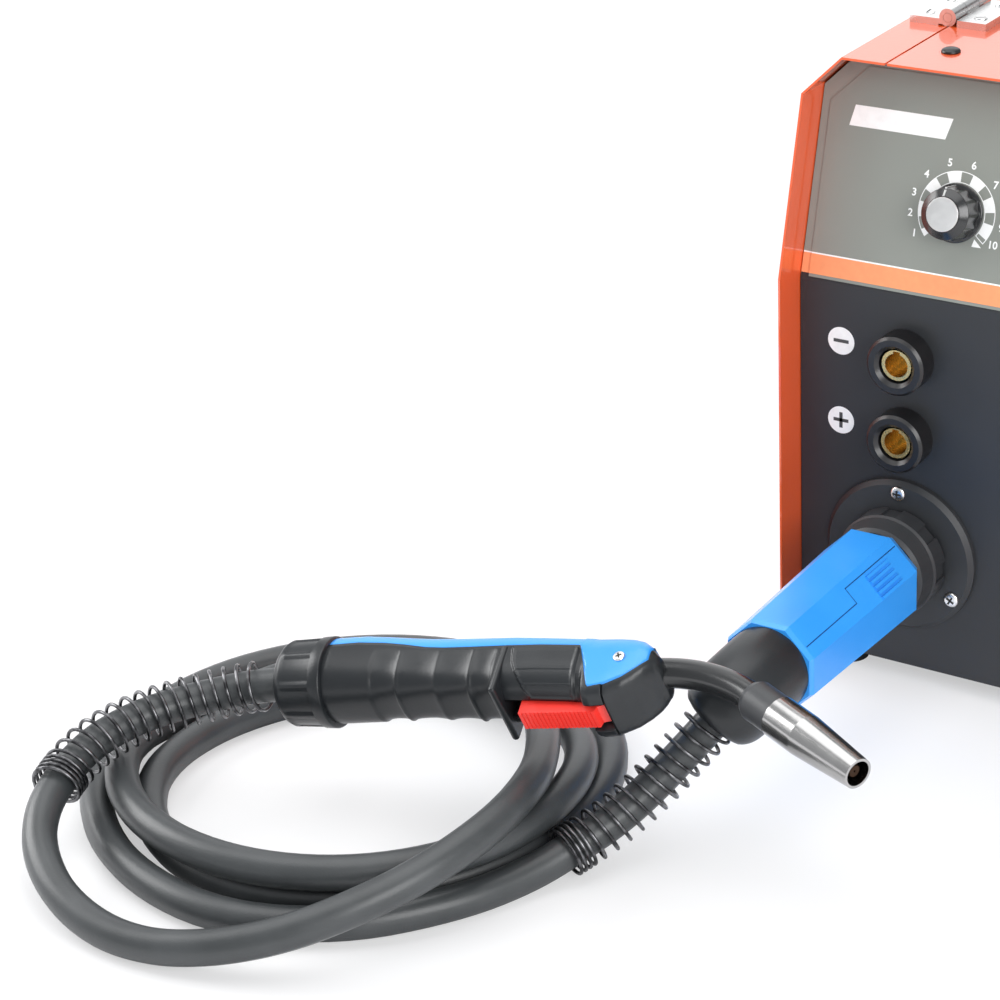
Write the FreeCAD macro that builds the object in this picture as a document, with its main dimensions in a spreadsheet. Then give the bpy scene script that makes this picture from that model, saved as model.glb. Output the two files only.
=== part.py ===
import FreeCAD, Part
import math
import os
import Sketcher

V = FreeCAD.Vector
X_AXIS = V(1, 0, 0)
Y_AXIS = V(0, 1, 0)
Z_AXIS = V(0, 0, 1)

os.makedirs("parts", exist_ok=True)
doc = FreeCAD.newDocument("welder")
sheet = doc.addObject("Spreadsheet::Sheet", "Sizes")
nodes = []


# A driving dimension: its number, and the formula that binds it to the sheet.
class Size:
    def __init__(self, value, formula):
        self.value = float(value)
        self.formula = formula

    def __add__(self, other):
        other = as_size(other)
        return Size(self.value + other.value, f"({self.formula} + {other.formula})")

    def __radd__(self, other):
        return as_size(other) + self

    def __neg__(self):
        return Size(-self.value, f"(0 - {self.formula})")

    def __sub__(self, other):
        return self + -as_size(other)

    def __rsub__(self, other):
        return as_size(other) + -self

    def __mul__(self, other):
        other = as_size(other)
        return Size(self.value * other.value, f"({self.formula} * {other.formula})")

    def __rmul__(self, other):
        return as_size(other) * self

    def __truediv__(self, other):
        other = as_size(other)
        return Size(self.value / other.value, f"({self.formula} / {other.formula})")

    def __float__(self):
        return self.value


def as_size(amount):
    if isinstance(amount, Size):
        return amount
    return Size(amount, f"({float(amount):.6f})")


def size(alias, value):
    size.row += 1
    sheet.set(f"A{size.row}", alias)
    sheet.set(f"B{size.row}", f"{value:g}")
    sheet.setAlias(f"B{size.row}", alias)
    return Size(value, f"Sizes.{alias}")


size.row = 0


def trig(name, angle):
    value = getattr(math, name)(math.radians(float(angle)))
    return Size(value, f"{name}({angle.formula})")


# Overall sizes of the housing
cover_width = size("coverWidth", 216)
cover_top = size("coverTop", 358)
cover_front = size("coverFront", -230)
cover_rear = size("coverRear", 235)
cover_chamfer = size("coverChamfer", 21)
cover_bend = size("coverBend", 240)
cover_plate = size("coverPlate", 1.2)
foot_height = size("footHeight", 12)
foot_radius = size("footRadius", 13)
foot_inset_side = size("footInsetSide", 24)
foot_inset_end = size("footInsetEnd", 34)
fit_gap = size("fitGap", 0.5)
panel_level = size("panelLevel", -207.5)
panel_bend = size("panelBend", 234.25)
panel_plate = size("panelPlate", 2)
lean_angle = size("leanAngle", 15.6)
rear_inset = size("rearInset", 10)
rear_plate = size("rearPlate", 1.5)
pan_floor = size("panFloor", 1.5)
pan_rim = size("panRim", 30)
seam_place = size("seamPlace", -61)
seam_gap = size("seamGap", 1.4)
divider_place = size("dividerPlace", -18)
divider_plate = size("dividerPlate", 1.5)
divider_flange = size("dividerFlange", 12)

# Control panel
overlay_plate = size("overlayPlate", 0.6)
overlay_inset = size("overlayInset", 5)
overlay_start = size("overlayStart", 1.5)
overlay_gap = size("overlayGap", 8.7)
knob_place = size("knobPlace", -20)
speed_knob_place = size("speedKnobPlace", 52)
knob_below_middle = size("knobBelowMiddle", 14.959)
knob_radius = size("knobRadius", 15)
knob_height = size("knobHeight", 18)
shaft_radius = size("shaftRadius", 3)
board_gap = size("boardGap", 12)
board_plate = size("boardPlate", 1.6)
board_clear = size("boardClear", 3)
board_half = size("boardHalf", 24)
board_left = size("boardLeft", 36)
board_notch = size("boardNotch", 10)

# Power sockets and the torch connector
socket_place = size("socketPlace", -42.5)
socket_upper = size("socketUpper", 198.3)
socket_lower = size("socketLower", 152.6)
socket_radius = size("socketRadius", 16.9)
socket_reach = size("socketReach", 14)
socket_hole = size("socketHole", 12.5)
socket_bore = size("socketBore", 10)
socket_recess = size("socketRecess", 3)
socket_depth = size("socketDepth", 34)
contact_depth = size("contactDepth", 26)
contact_stud = size("contactStud", 5)
stud_reach = size("studReach", 12)
contact_bore = size("contactBore", 6.75)
contact_wall = size("contactWall", 2)
port_place = size("portPlace", -43.5)
port_level = size("portLevel", 81.5)
port_hole = size("portHole", 19)
flange_radius = size("flangeRadius", 45)
flange_plate = size("flangePlate", 5)
flange_bolt_radius = size("flangeBoltRadius", 38.3)
screw_shank = size("screwShank", 2.2)
screw_head = size("screwHead", 4.6)
screw_length = size("screwLength", 6)
screw_gap = size("screwGap", 0.15)

# Wire feeder and the spool
roll_radius = size("rollRadius", 15)
roll_width = size("rollWidth", 12)
roll_place = size("rollPlace", -130)
roll_shaft_radius = size("rollShaftRadius", 5)
pressure_radius = size("pressureRadius", 11)
wire_diameter = size("wireDiameter", 1)
running_gap = size("runningGap", 0.3)
spool_radius = size("spoolRadius", 100)
spool_width = size("spoolWidth", 55)
spool_bore = size("spoolBore", 26)
spool_place = size("spoolPlace", 70)
spool_drop = size("spoolDrop", 153)
spool_side = size("spoolSide", -96)

# Hinges and the latch of the side door
hinge_plate = size("hingePlate", 4)
hinge_leaf = size("hingeLeaf", 22)
hinge_length = size("hingeLength", 44)
hinge_inset = size("hingeInset", 102)
barrel_radius = size("barrelRadius", 5)
pin_radius = size("pinRadius", 2.5)
latch_radius = size("latchRadius", 12)
latch_above_rim = size("latchAboveRim", 12)
latch_reach = size("latchReach", 7)
latch_stud = size("latchStud", 3)
latch_hole = size("latchHole", 4)
cam_length = size("camLength", 18)
cam_half = size("camHalf", 3)
cam_plate = size("camPlate", 2)
cam_gap = size("camGap", 1.2)

# Plug of the torch, measured out from the front panel
plug_start = size("plugStart", 32)
plug_end = size("plugEnd", 153)
plug_front_width = size("plugFrontWidth", 56)
plug_rear_width = size("plugRearWidth", 50)
sleeve_radius = size("sleeveRadius", 23.5)
sleeve_end = size("sleeveEnd", 186)
sleeve_tip = size("sleeveTip", 214)
nut_radius = size("nutRadius", 30)

# Torch: where its collar starts, which way it points, and its sizes
torch_across = size("torchAcross", -286)
torch_along = size("torchAlong", -472)
torch_level = size("torchLevel", 62)
torch_heading = size("torchHeading", 12.2)
torch_rise = size("torchRise", 10.4)
torch_roll = size("torchRoll", 22.3)
collar_radius = size("collarRadius", 23.5)
collar_length = size("collarLength", 35)
handle_length = size("handleLength", 221)
handle_width = size("handleWidth", 37)
neck_radius = size("neckRadius", 7.75)
neck_bend_radius = size("neckBendRadius", 88)
neck_bend_angle = size("neckBendAngle", 37.5)
insulator_length = size("insulatorLength", 22)
nozzle_length = size("nozzleLength", 57.5)
nozzle_radius = size("nozzleRadius", 11)
mouth_radius = size("mouthRadius", 8)
nozzle_wall = size("nozzleWall", 1.4)
tip_radius = size("tipRadius", 4)

# Cable, its guard springs, and the coil that it lies in
cable_diameter = size("cableDiameter", 18.5)
cable_sides = size("cableSides", 10)
spring_radius = size("springRadius", 13)
spring_wire = size("springWire", 2)
spring_pitch = size("springPitch", 7.6)
spring_sides = size("springSides", 4)
coil_across = size("coilAcross", -240)
coil_along = size("coilAlong", -455)

doc.recompute()


# General helpers
def link(item, **amounts):
    for prop, amount in amounts.items():
        item.setExpression(prop.replace("__", "."), as_size(amount).formula)


def place(item, x=0, y=0, z=0, rotation=None):
    if rotation is not None:
        item.Placement = FreeCAD.Placement(V(), rotation)
    link(item, Placement__Base__x=x, Placement__Base__y=y, Placement__Base__z=z)
    return item


def node(label, item):
    item.Label = label
    nodes.append(item)
    return item


def box(name, corner, extent):
    item = doc.addObject("Part::Box", name)
    link(item, Length=extent[0], Width=extent[1], Height=extent[2])
    return place(item, *corner)


TURNS = {
    "x": FreeCAD.Rotation(Z_AXIS, X_AXIS),
    "y": FreeCAD.Rotation(Z_AXIS, Y_AXIS),
    "out": FreeCAD.Rotation(X_AXIS, 90),
    "z": FreeCAD.Rotation(),
    "left": FreeCAD.Rotation(Z_AXIS, -X_AXIS),
}


def rod(name, axis, start, radius, length):
    item = doc.addObject("Part::Cylinder", name)
    link(item, Radius=radius, Height=length)
    return place(item, *start, rotation=TURNS[axis])


def cone(name, axis, start, first_radius, last_radius, length):
    item = doc.addObject("Part::Cone", name)
    link(item, Radius1=first_radius, Radius2=last_radius, Height=length)
    return place(item, *start, rotation=TURNS[axis])


def fuse(name, *shapes):
    item = doc.addObject("Part::MultiFuse", name)
    item.Shapes = list(shapes)
    return item


def cut(name, base, *tools):
    item = doc.addObject("Part::Cut", name)
    item.Base = base
    item.Tool = tools[0] if len(tools) == 1 else fuse(name + "_tools", *tools)
    return item


def common(name, base, tool):
    item = doc.addObject("Part::Common", name)
    item.Base = base
    item.Tool = tool
    return item


def group(name, *shapes):
    item = doc.addObject("Part::Compound", name)
    item.Links = list(shapes)
    return item


def feature(name, shape, placement=FreeCAD.Placement()):
    item = doc.addObject("Part::Feature", name)
    item.Shape = shape
    item.Placement = placement
    return item


def body(name):
    return doc.addObject("PartDesign::Body", name)


def sketch(owner, plane, level=0, name="sketch"):
    item = owner.newObject("Sketcher::SketchObject", owner.Name + "_" + name)
    origin = [part for part in owner.Origin.OriginFeatures if part.Role == plane][0]
    item.AttachmentSupport = [(origin, "")]
    item.MapMode = "FlatFace"
    link(item, AttachmentOffset__Base__z=level)
    return item


def bound(item, kind, *spec, amount):
    amount = as_size(amount)
    index = item.addConstraint(Sketcher.Constraint(kind, *spec, amount.value))
    item.setExpression(f"Constraints[{index}]", amount.formula)


def polygon(item, corners):
    first = item.GeometryCount
    spots = [V(float(x), float(y), 0) for x, y in corners]
    for here, there in zip(spots, spots[1:] + spots[:1]):
        item.addGeometry(Part.LineSegment(here, there), False)
    count = len(spots)
    for index in range(count):
        item.addConstraint(
            Sketcher.Constraint("Coincident", first + index, 2, first + (index + 1) % count, 1)
        )
    for index, (x, y) in enumerate(corners):
        bound(item, "DistanceX", -1, 1, first + index, 1, amount=x)
        bound(item, "DistanceY", -1, 1, first + index, 1, amount=y)


def circle(item, x, y, radius):
    spot = V(float(x), float(y), 0)
    index = item.addGeometry(Part.Circle(spot, Z_AXIS, float(radius)), False)
    bound(item, "DistanceX", -1, 1, index, 3, amount=x)
    bound(item, "DistanceY", -1, 1, index, 3, amount=y)
    bound(item, "Radius", index, amount=radius)


def pad(owner, profile, length, midplane=False, reverse=False):
    item = owner.newObject("PartDesign::Pad", owner.Name + "_pad")
    item.Profile = profile
    item.Midplane = midplane
    item.Reversed = reverse
    link(item, Length=length)
    return item


def pocket(owner, profile, length, midplane=False, reverse=False):
    item = owner.newObject("PartDesign::Pocket", owner.Name + "_pocket")
    item.Profile = profile
    item.Midplane = midplane
    item.Reversed = reverse
    link(item, Length=length)
    return item


def turned(name, profile, axis="V_Axis"):
    owner = body(name)
    outline = sketch(owner, "XZ_Plane")
    polygon(outline, profile)
    item = owner.newObject("PartDesign::Revolution", name + "_turn")
    item.Profile = outline
    item.ReferenceAxis = (outline, [axis])
    item.Angle = 360
    return owner


def around(owner, original, axis_sketch, count):
    item = owner.newObject("PartDesign::PolarPattern", owner.Name + "_around")
    item.Originals = [original]
    item.Axis = (axis_sketch, ["N_Axis"])
    item.Angle = 360
    item.Occurrences = count
    owner.Tip = item
    return item


def along(owner, original, axis_sketch, axis, length, count, reverse=False):
    item = owner.newObject("PartDesign::LinearPattern", owner.Name + "_along")
    item.Originals = [original]
    item.Direction = (axis_sketch, [axis])
    item.Reversed = reverse
    link(item, Length=length)
    item.Occurrences = count
    owner.Tip = item
    return item


# Shared shapes of the housing
half_width = cover_width / 2
lean = trig("tan", lean_angle)
lean_cos = trig("cos", lean_angle)
corner_cut = (math.sqrt(2) - 1) * cover_plate
inner_half = half_width - cover_plate
inner_top = cover_top - cover_plate
seat_half = inner_half - fit_gap
seat_top = inner_top - fit_gap
seat_chamfer = cover_chamfer + corner_cut + (math.sqrt(2) - 1) * fit_gap - cover_plate
rear_level = cover_rear - rear_inset
pan_half = inner_half - fit_gap
latch_level = foot_height + pan_rim + latch_above_rim
lean_run = (seat_top - panel_bend) / lean_cos
knob_rise = lean_run / 2 - knob_below_middle
overlay_end = lean_run - overlay_gap
spool_level = cover_top - spool_drop
roll_axis_level = port_level - roll_radius - wire_diameter / 2


# The front edge of the cover and the door leans back above the bend
def trim_front(owner):
    wedge = sketch(owner, "YZ_Plane", name="lean")
    above = cover_top + 10
    polygon(
        wedge,
        [
            (cover_front, cover_bend),
            (cover_front + lean * (above - cover_bend), above),
            (cover_front - 10, above),
            (cover_front - 10, cover_bend),
        ],
    )
    pocket(owner, wedge, 2 * cover_width, midplane=True)


# Fixed cover: top sheet, right chamfer and right wall
def make_main_cover():
    owner = body("cover_body")
    section = sketch(owner, "XZ_Plane", level=-cover_rear, name="section")
    edge = seam_place + seam_gap / 2
    polygon(
        section,
        [
            (edge, cover_top),
            (half_width - cover_chamfer, cover_top),
            (half_width, cover_top - cover_chamfer),
            (half_width, foot_height),
            (inner_half, foot_height),
            (inner_half, cover_top - cover_chamfer - corner_cut),
            (half_width - cover_chamfer - corner_cut, inner_top),
            (edge, inner_top),
        ],
    )
    pad(owner, section, cover_rear - cover_front)
    trim_front(owner)
    hole = sketch(owner, "XY_Plane", level=cover_top, name="hole")
    circle(hole, size("liftHoleAcross", -39.2), size("liftHoleAlong", -164.8), size("liftHoleRadius", 6.2))
    pocket(owner, hole, 3 * cover_plate)
    slot = sketch(owner, "YZ_Plane", level=half_width, name="louvre")
    louvre_length = size("louvreLength", 60)
    louvre_height = size("louvreHeight", 5)
    louvre_start = size("louvreStart", -20)
    louvre_level = size("louvreLevel", 95)
    polygon(
        slot,
        [
            (louvre_start, louvre_level),
            (louvre_start + louvre_length, louvre_level),
            (louvre_start + louvre_length, louvre_level + louvre_height),
            (louvre_start, louvre_level + louvre_height),
        ],
    )
    first = pocket(owner, slot, 4 * cover_plate)
    along(owner, first, slot, "V_Axis", size("louvreRun", 90), 7)
    return node("main_cover", owner)


# Side door: wall, chamfer and the strip of the top sheet up to the seam
def make_side_door():
    owner = body("door_body")
    section = sketch(owner, "XZ_Plane", level=-cover_rear, name="section")
    edge = seam_place - seam_gap / 2
    polygon(
        section,
        [
            (edge, cover_top),
            (edge, inner_top),
            (cover_chamfer + corner_cut - half_width, inner_top),
            (-inner_half, cover_top - cover_chamfer - corner_cut),
            (-inner_half, foot_height),
            (-half_width, foot_height),
            (-half_width, cover_top - cover_chamfer),
            (cover_chamfer - half_width, cover_top),
        ],
    )
    pad(owner, section, cover_rear - cover_front)
    trim_front(owner)
    hole = sketch(owner, "YZ_Plane", level=-half_width, name="latch")
    circle(hole, 0, latch_level, latch_hole)
    pocket(owner, hole, 4 * cover_plate, reverse=True)
    return node("side_door", owner)


# Base pan: a tray with a folded rim, on four rubber feet
def make_base():
    outer = box(
        "pan_outer",
        (-pan_half, panel_level + panel_plate, foot_height),
        (2 * pan_half, rear_level - panel_level - panel_plate, pan_rim),
    )
    inner = box(
        "pan_inner",
        (pan_floor - pan_half, panel_level + panel_plate + pan_floor, foot_height + pan_floor),
        (2 * (pan_half - pan_floor), rear_level - panel_level - panel_plate - 2 * pan_floor, pan_rim),
    )
    node("base_pan", cut("pan_cut", outer, inner))
    feet = []
    for side in (-1, 1):
        for end in (-1, 1):
            feet.append(
                cone(
                    "foot",
                    "z",
                    (
                        side * (half_width - foot_inset_side),
                        end * (rear_level - foot_inset_end),
                        0,
                    ),
                    foot_radius - 2,
                    foot_radius,
                    foot_height,
                )
            )
    node("feet", group("feet_group", *feet))


# A sketch on the leaning face of the control panel, level out from it
def leaning_sketch(owner, name, level=0):
    item = sketch(owner, "XZ_Plane", name=name)
    item.AttachmentOffset = FreeCAD.Placement(V(), FreeCAD.Rotation(X_AXIS, -float(lean_angle)))
    link(
        item,
        AttachmentOffset__Base__y=panel_bend + level * trig("sin", lean_angle),
        AttachmentOffset__Base__z=-panel_level + level * lean_cos,
        AttachmentOffset__Rotation__Angle=-lean_angle,
    )
    return item


# Where the three screws of the torch connector's flange sit on the panel
def flange_screw_places():
    places = []
    for angle in (90, 210, 330):
        across = port_place + flange_bolt_radius * math.cos(math.radians(angle))
        places.append((across, port_level + flange_bolt_radius * math.sin(math.radians(angle))))
    return places


# Front panel: one bent sheet with its corners cut to the chamfers
def make_front_panel():
    owner = body("panel_body")
    section = sketch(owner, "YZ_Plane", name="section")
    rise = seat_top - panel_bend
    bend_shift = panel_plate * trig("tan", lean_angle / 2)
    polygon(
        section,
        [
            (panel_level, foot_height),
            (panel_level, panel_bend),
            (panel_level + rise * lean, seat_top),
            (panel_level + rise * lean + panel_plate / lean_cos, seat_top),
            (panel_level + panel_plate, panel_bend - bend_shift),
            (panel_level + panel_plate, foot_height),
        ],
    )
    pad(owner, section, 2 * seat_half, midplane=True)
    corners = sketch(owner, "XZ_Plane", name="corners")
    for side in (-1, 1):
        polygon(
            corners,
            [
                (side * (seat_half - seat_chamfer), seat_top),
                (side * seat_half, seat_top - seat_chamfer),
                (side * (seat_half + 1), seat_top + 1),
            ],
        )
    pocket(owner, corners, 4 * cover_rear, midplane=True)
    holes = sketch(owner, "XZ_Plane", level=-panel_level, name="holes")
    for level in (socket_upper, socket_lower):
        circle(holes, socket_place, level, socket_hole)
    circle(holes, port_place, port_level, port_hole)
    for across, level in flange_screw_places():
        circle(holes, across, level, screw_shank + screw_gap)
    pocket(owner, holes, 3 * panel_plate)
    shafts = leaning_sketch(owner, "shafts")
    for across in (knob_place, speed_knob_place):
        circle(shafts, across, knob_rise, shaft_radius + fit_gap)
    pocket(owner, shafts, 3 * panel_plate)
    return node("front_panel", owner)


# Printed overlay on the leaning part of the front panel
def make_overlay():
    owner = body("overlay_body")
    face = leaning_sketch(owner, "face")
    half = seat_half - overlay_inset
    slant = seat_chamfer
    polygon(
        face,
        [
            (-half, overlay_start),
            (half, overlay_start),
            (half, overlay_end - slant),
            (half - slant, overlay_end),
            (slant - half, overlay_end),
            (-half, overlay_end - slant),
        ],
    )
    for across in (knob_place, speed_knob_place):
        circle(face, across, knob_rise, shaft_radius + fit_gap)
    pad(owner, face, overlay_plate)
    return node("control_overlay", owner)


# Rear panel with the fan's air slots and the holes for what it carries
fan_place = size("fanPlace", 46)
fan_level = size("fanLevel", 130)
fan_width = size("fanWidth", 92)
fan_depth = size("fanDepth", 25)
fan_bore = size("fanBore", 43)
switch_place = size("switchPlace", 60)
switch_level = size("switchLevel", 270)
switch_width = size("switchWidth", 22)
switch_height = size("switchHeight", 30)
gland_place = size("glandPlace", 10)
gland_level = size("glandLevel", 270)
gland_radius = size("glandRadius", 9)
gas_place = size("gasPlace", -62)
gas_level = size("gasLevel", 60)
gas_radius = size("gasRadius", 6)


def make_rear_panel():
    owner = body("rear_body")
    face = sketch(owner, "XZ_Plane", level=-rear_level - rear_plate, name="face")
    polygon(
        face,
        [
            (-seat_half, foot_height + 2),
            (seat_half, foot_height + 2),
            (seat_half, seat_top - seat_chamfer),
            (seat_half - seat_chamfer, seat_top),
            (seat_chamfer - seat_half, seat_top),
            (-seat_half, seat_top - seat_chamfer),
        ],
    )
    circle(face, gland_place, gland_level, gland_radius + fit_gap)
    circle(face, gas_place, gas_level, gas_radius + fit_gap)
    half = switch_width / 2 + fit_gap
    tall = switch_height / 2 + fit_gap
    polygon(
        face,
        [
            (switch_place - half, switch_level - tall),
            (switch_place + half, switch_level - tall),
            (switch_place + half, switch_level + tall),
            (switch_place - half, switch_level + tall),
        ],
    )
    pad(owner, face, rear_plate)
    slot = sketch(owner, "XZ_Plane", level=-rear_level, name="slot")
    slot_half = size("airSlotHalf", 34)
    slot_width = size("airSlotWidth", 5)
    polygon(
        slot,
        [
            (fan_place - slot_half, fan_level - slot_half),
            (fan_place + slot_half, fan_level - slot_half),
            (fan_place + slot_half, fan_level - slot_half + slot_width),
            (fan_place - slot_half, fan_level - slot_half + slot_width),
        ],
    )
    first = pocket(owner, slot, 4 * rear_plate, midplane=True)
    along(owner, first, slot, "V_Axis", 2 * slot_half - slot_width, 8)
    return node("rear_panel", owner)


# Divider between the wire compartment and the power side
def make_divider():
    owner = body("divider_body")
    side = sketch(owner, "YZ_Plane", level=divider_place, name="side")
    front = panel_level + panel_plate + pan_floor + fit_gap
    floor = foot_height + pan_floor
    rise = inner_top - panel_bend
    board_depth = board_gap + board_plate + board_clear
    slack = fit_gap + panel_plate / lean_cos + board_depth
    polygon(
        side,
        [
            (front, floor),
            (rear_level - pan_floor - fit_gap, floor),
            (rear_level - pan_floor - fit_gap, inner_top),
            (panel_level + rise * lean + slack, inner_top),
            (front + board_depth, panel_bend),
            (front + board_depth, panel_bend - board_notch),
            (front, panel_bend - board_notch),
        ],
    )
    pad(owner, side, divider_plate)
    flange = sketch(owner, "YZ_Plane", level=divider_place + divider_plate, name="flange")
    for low in (floor, inner_top - divider_plate):
        polygon(
            flange,
            [
                (panel_level + rise * lean + slack, low),
                (rear_level - pan_floor - fit_gap, low),
                (rear_level - pan_floor - fit_gap, low + divider_plate),
                (panel_level + rise * lean + slack, low + divider_plate),
            ],
        )
    pad(owner, flange, divider_flange)
    way = sketch(owner, "YZ_Plane", level=divider_place, name="way")
    circle(way, roll_place, roll_axis_level, roll_shaft_radius + 2)
    pocket(owner, way, 4 * divider_plate, midplane=True)
    return node("divider_wall", owner)


# Carry handle on the top sheet: a bent bar on two round feet
handle_half_span = size("handleHalfSpan", 95)
handle_rise = size("handleRise", 42)
handle_bar = size("handleBar", 7)
handle_grip = size("handleGrip", 14)
handle_bend = size("handleBend", 22)
handle_foot = size("handleFoot", 17)


def make_carry_handle():
    top = float(cover_top)
    span = float(handle_half_span)
    rise = float(handle_rise)
    bend = float(handle_bend)
    slack = bend * (1 - math.sqrt(0.5))
    points = [V(0, -span, top), V(0, -span, top + rise - bend), V(0, bend - span, top + rise)]
    back = [V(spot.x, -spot.y, spot.z) for spot in reversed(points)]
    middle = V(0, slack - span, top + rise - slack)
    path = Part.Wire(
        [
            Part.LineSegment(points[0], points[1]).toShape(),
            Part.Arc(points[1], middle, points[2]).toShape(),
            Part.LineSegment(points[2], back[0]).toShape(),
            Part.Arc(back[0], V(0, -middle.y, middle.z), back[1]).toShape(),
            Part.LineSegment(back[1], back[2]).toShape(),
        ]
    )
    ring = Part.Wire([Part.Circle(points[0], Z_AXIS, float(handle_bar)).toShape()])
    bar = feature("handle_bar", path.makePipeShell([ring], True, False))
    grip = rod(
        "handle_grip",
        "y",
        (0, handle_bend - handle_half_span + 4, cover_top + handle_rise),
        handle_grip,
        2 * (handle_half_span - handle_bend - 4),
    )
    feet = [
        cone("handle_foot", "z", (0, end * handle_half_span, cover_top), handle_foot, handle_foot - 3, 6)
        for end in (-1, 1)
    ]
    return node("carry_handle", fuse("handle_fuse", bar, grip, *feet))


# Hinges on the top sheet: leaves with knuckles, and the pins through them
def make_hinges():
    axis_level = cover_top + barrel_radius
    third = hinge_length / 3
    fixed = []
    moving = []
    pins = []
    for number, end in enumerate((-1, 1)):
        start = end * hinge_inset - hinge_length / 2
        bore = rod(f"pin_bore{number}", "y", (seam_place, start - 1, axis_level), pin_radius + 0.15, hinge_length + 2)
        for side, leaves in ((1, fixed), (-1, moving)):
            near = seam_place + side * (barrel_radius + fit_gap)
            plate = box(
                f"leaf{number}",
                (near if side > 0 else near - hinge_leaf + barrel_radius, start, cover_top),
                (hinge_leaf - barrel_radius, hinge_length, hinge_plate),
            )
            knuckles = []
            for place_index in ((1,) if side > 0 else (0, 2)):
                low = start + place_index * third + (running_gap / 2 if place_index else 0)
                span = third - running_gap / (1 if place_index == 1 else 2)
                knuckles.append(rod("knuckle", "y", (seam_place, low, axis_level), barrel_radius, span))
                reach = hinge_leaf / 2
                bridge_start = seam_place if side > 0 else seam_place - reach
                knuckles.append(box("bridge", (bridge_start, low, cover_top + 1), (reach, span, hinge_plate - 1)))
            leaves.append(cut(f"leaf_cut{number}", fuse("leaf_fuse", plate, *knuckles), bore))
        pins.append(rod("pin", "y", (seam_place, start, axis_level), pin_radius, hinge_length))
    node("hinge_leaves", group("fixed_leaves", *fixed))
    node("door_hinge_leaves", group("moving_leaves", *moving))
    node("hinge_pins", group("pins", *pins))


# Quarter-turn latch of the door: its cam lies level above the pan's rim, and turns down behind it
def make_latch():
    face = -half_width - running_gap
    cam_face = pan_floor + cam_gap - pan_half
    head = rod("latch_head", "left", (face, 0, latch_level), latch_radius, latch_reach)
    stud = rod("latch_stud", "x", (face - 1, 0, latch_level), latch_stud, cam_face + cam_plate - face + 1)
    grip = box(
        "latch_grip",
        (face - latch_reach - 5, -latch_radius, latch_level - 2),
        (6, 2 * latch_radius, 4),
    )
    cam = box(
        "latch_cam",
        (cam_face, -cam_length, latch_level - cam_half),
        (cam_plate, cam_length + cam_half, 2 * cam_half),
    )
    return node("door_latch", fuse("latch_fuse", head, stud, grip, cam))


make_main_cover()
make_side_door()
make_base()
make_front_panel()
make_overlay()
make_rear_panel()
make_divider()
make_carry_handle()
make_hinges()
make_latch()


# Power sockets on the front panel: a moulded body and a brass contact in it
def make_socket(label, level):
    reach = socket_reach
    shell = turned(
        "body_" + label,
        [
            (socket_bore, -contact_depth + reach),
            (socket_bore, reach - 2),
            (socket_bore + 2, reach),
            (socket_radius - 1.5, reach),
            (socket_radius, reach - 1.5),
            (socket_radius, 0),
            (socket_hole - fit_gap, 0),
            (socket_hole - fit_gap, reach - socket_depth),
            (contact_stud, reach - socket_depth),
            (contact_stud, reach - contact_depth),
        ],
    )
    place(shell, socket_place, panel_level, level, TURNS["out"])
    return node(label, shell)


def make_contact(name, level):
    outer = contact_bore + contact_wall
    metal = turned(
        name,
        [
            (0, socket_reach - socket_depth - stud_reach),
            (contact_stud, socket_reach - socket_depth - stud_reach),
            (contact_stud, socket_reach - contact_depth),
            (outer, socket_reach - contact_depth),
            (outer, socket_reach - socket_recess),
            (contact_bore, socket_reach - socket_recess),
            (contact_bore, socket_reach - contact_depth + 3),
            (0, socket_reach - contact_depth + 3),
        ],
    )
    place(metal, socket_place, panel_level, level, TURNS["out"])
    notch = box(
        name + "_notch",
        (socket_place - 2, panel_level - socket_reach - 1, level + contact_bore - 1),
        (4, 14, contact_wall + 0.2),
    )
    return cut(name + "_cut", metal, notch)


make_socket("socket_negative", socket_upper)
make_socket("socket_positive", socket_lower)
node(
    "socket_contacts",
    group("contacts", make_contact("contact_upper", socket_upper), make_contact("contact_lower", socket_lower)),
)


# Torch connector: flange plate, its screws, the adaptor tube and the ring nut
flange_bore = size("flangeBore", 18)
adaptor_radius = size("adaptorRadius", 17)
adaptor_bore = size("adaptorBore", 3)
nut_start = size("nutStart", 7)
nut_length = size("nutLength", 24)


def screw(place_across, place_level, face, name="screw"):
    head = turned(
        name,
        [
            (0, -screw_length),
            (screw_shank, -screw_length),
            (screw_shank, 0),
            (screw_head, 0),
            (screw_head, 1.2),
            (screw_head - 1.6, 2.9),
            (0, 3.3),
        ],
    )
    return place(head, place_across, face, place_level, TURNS["out"])


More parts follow.
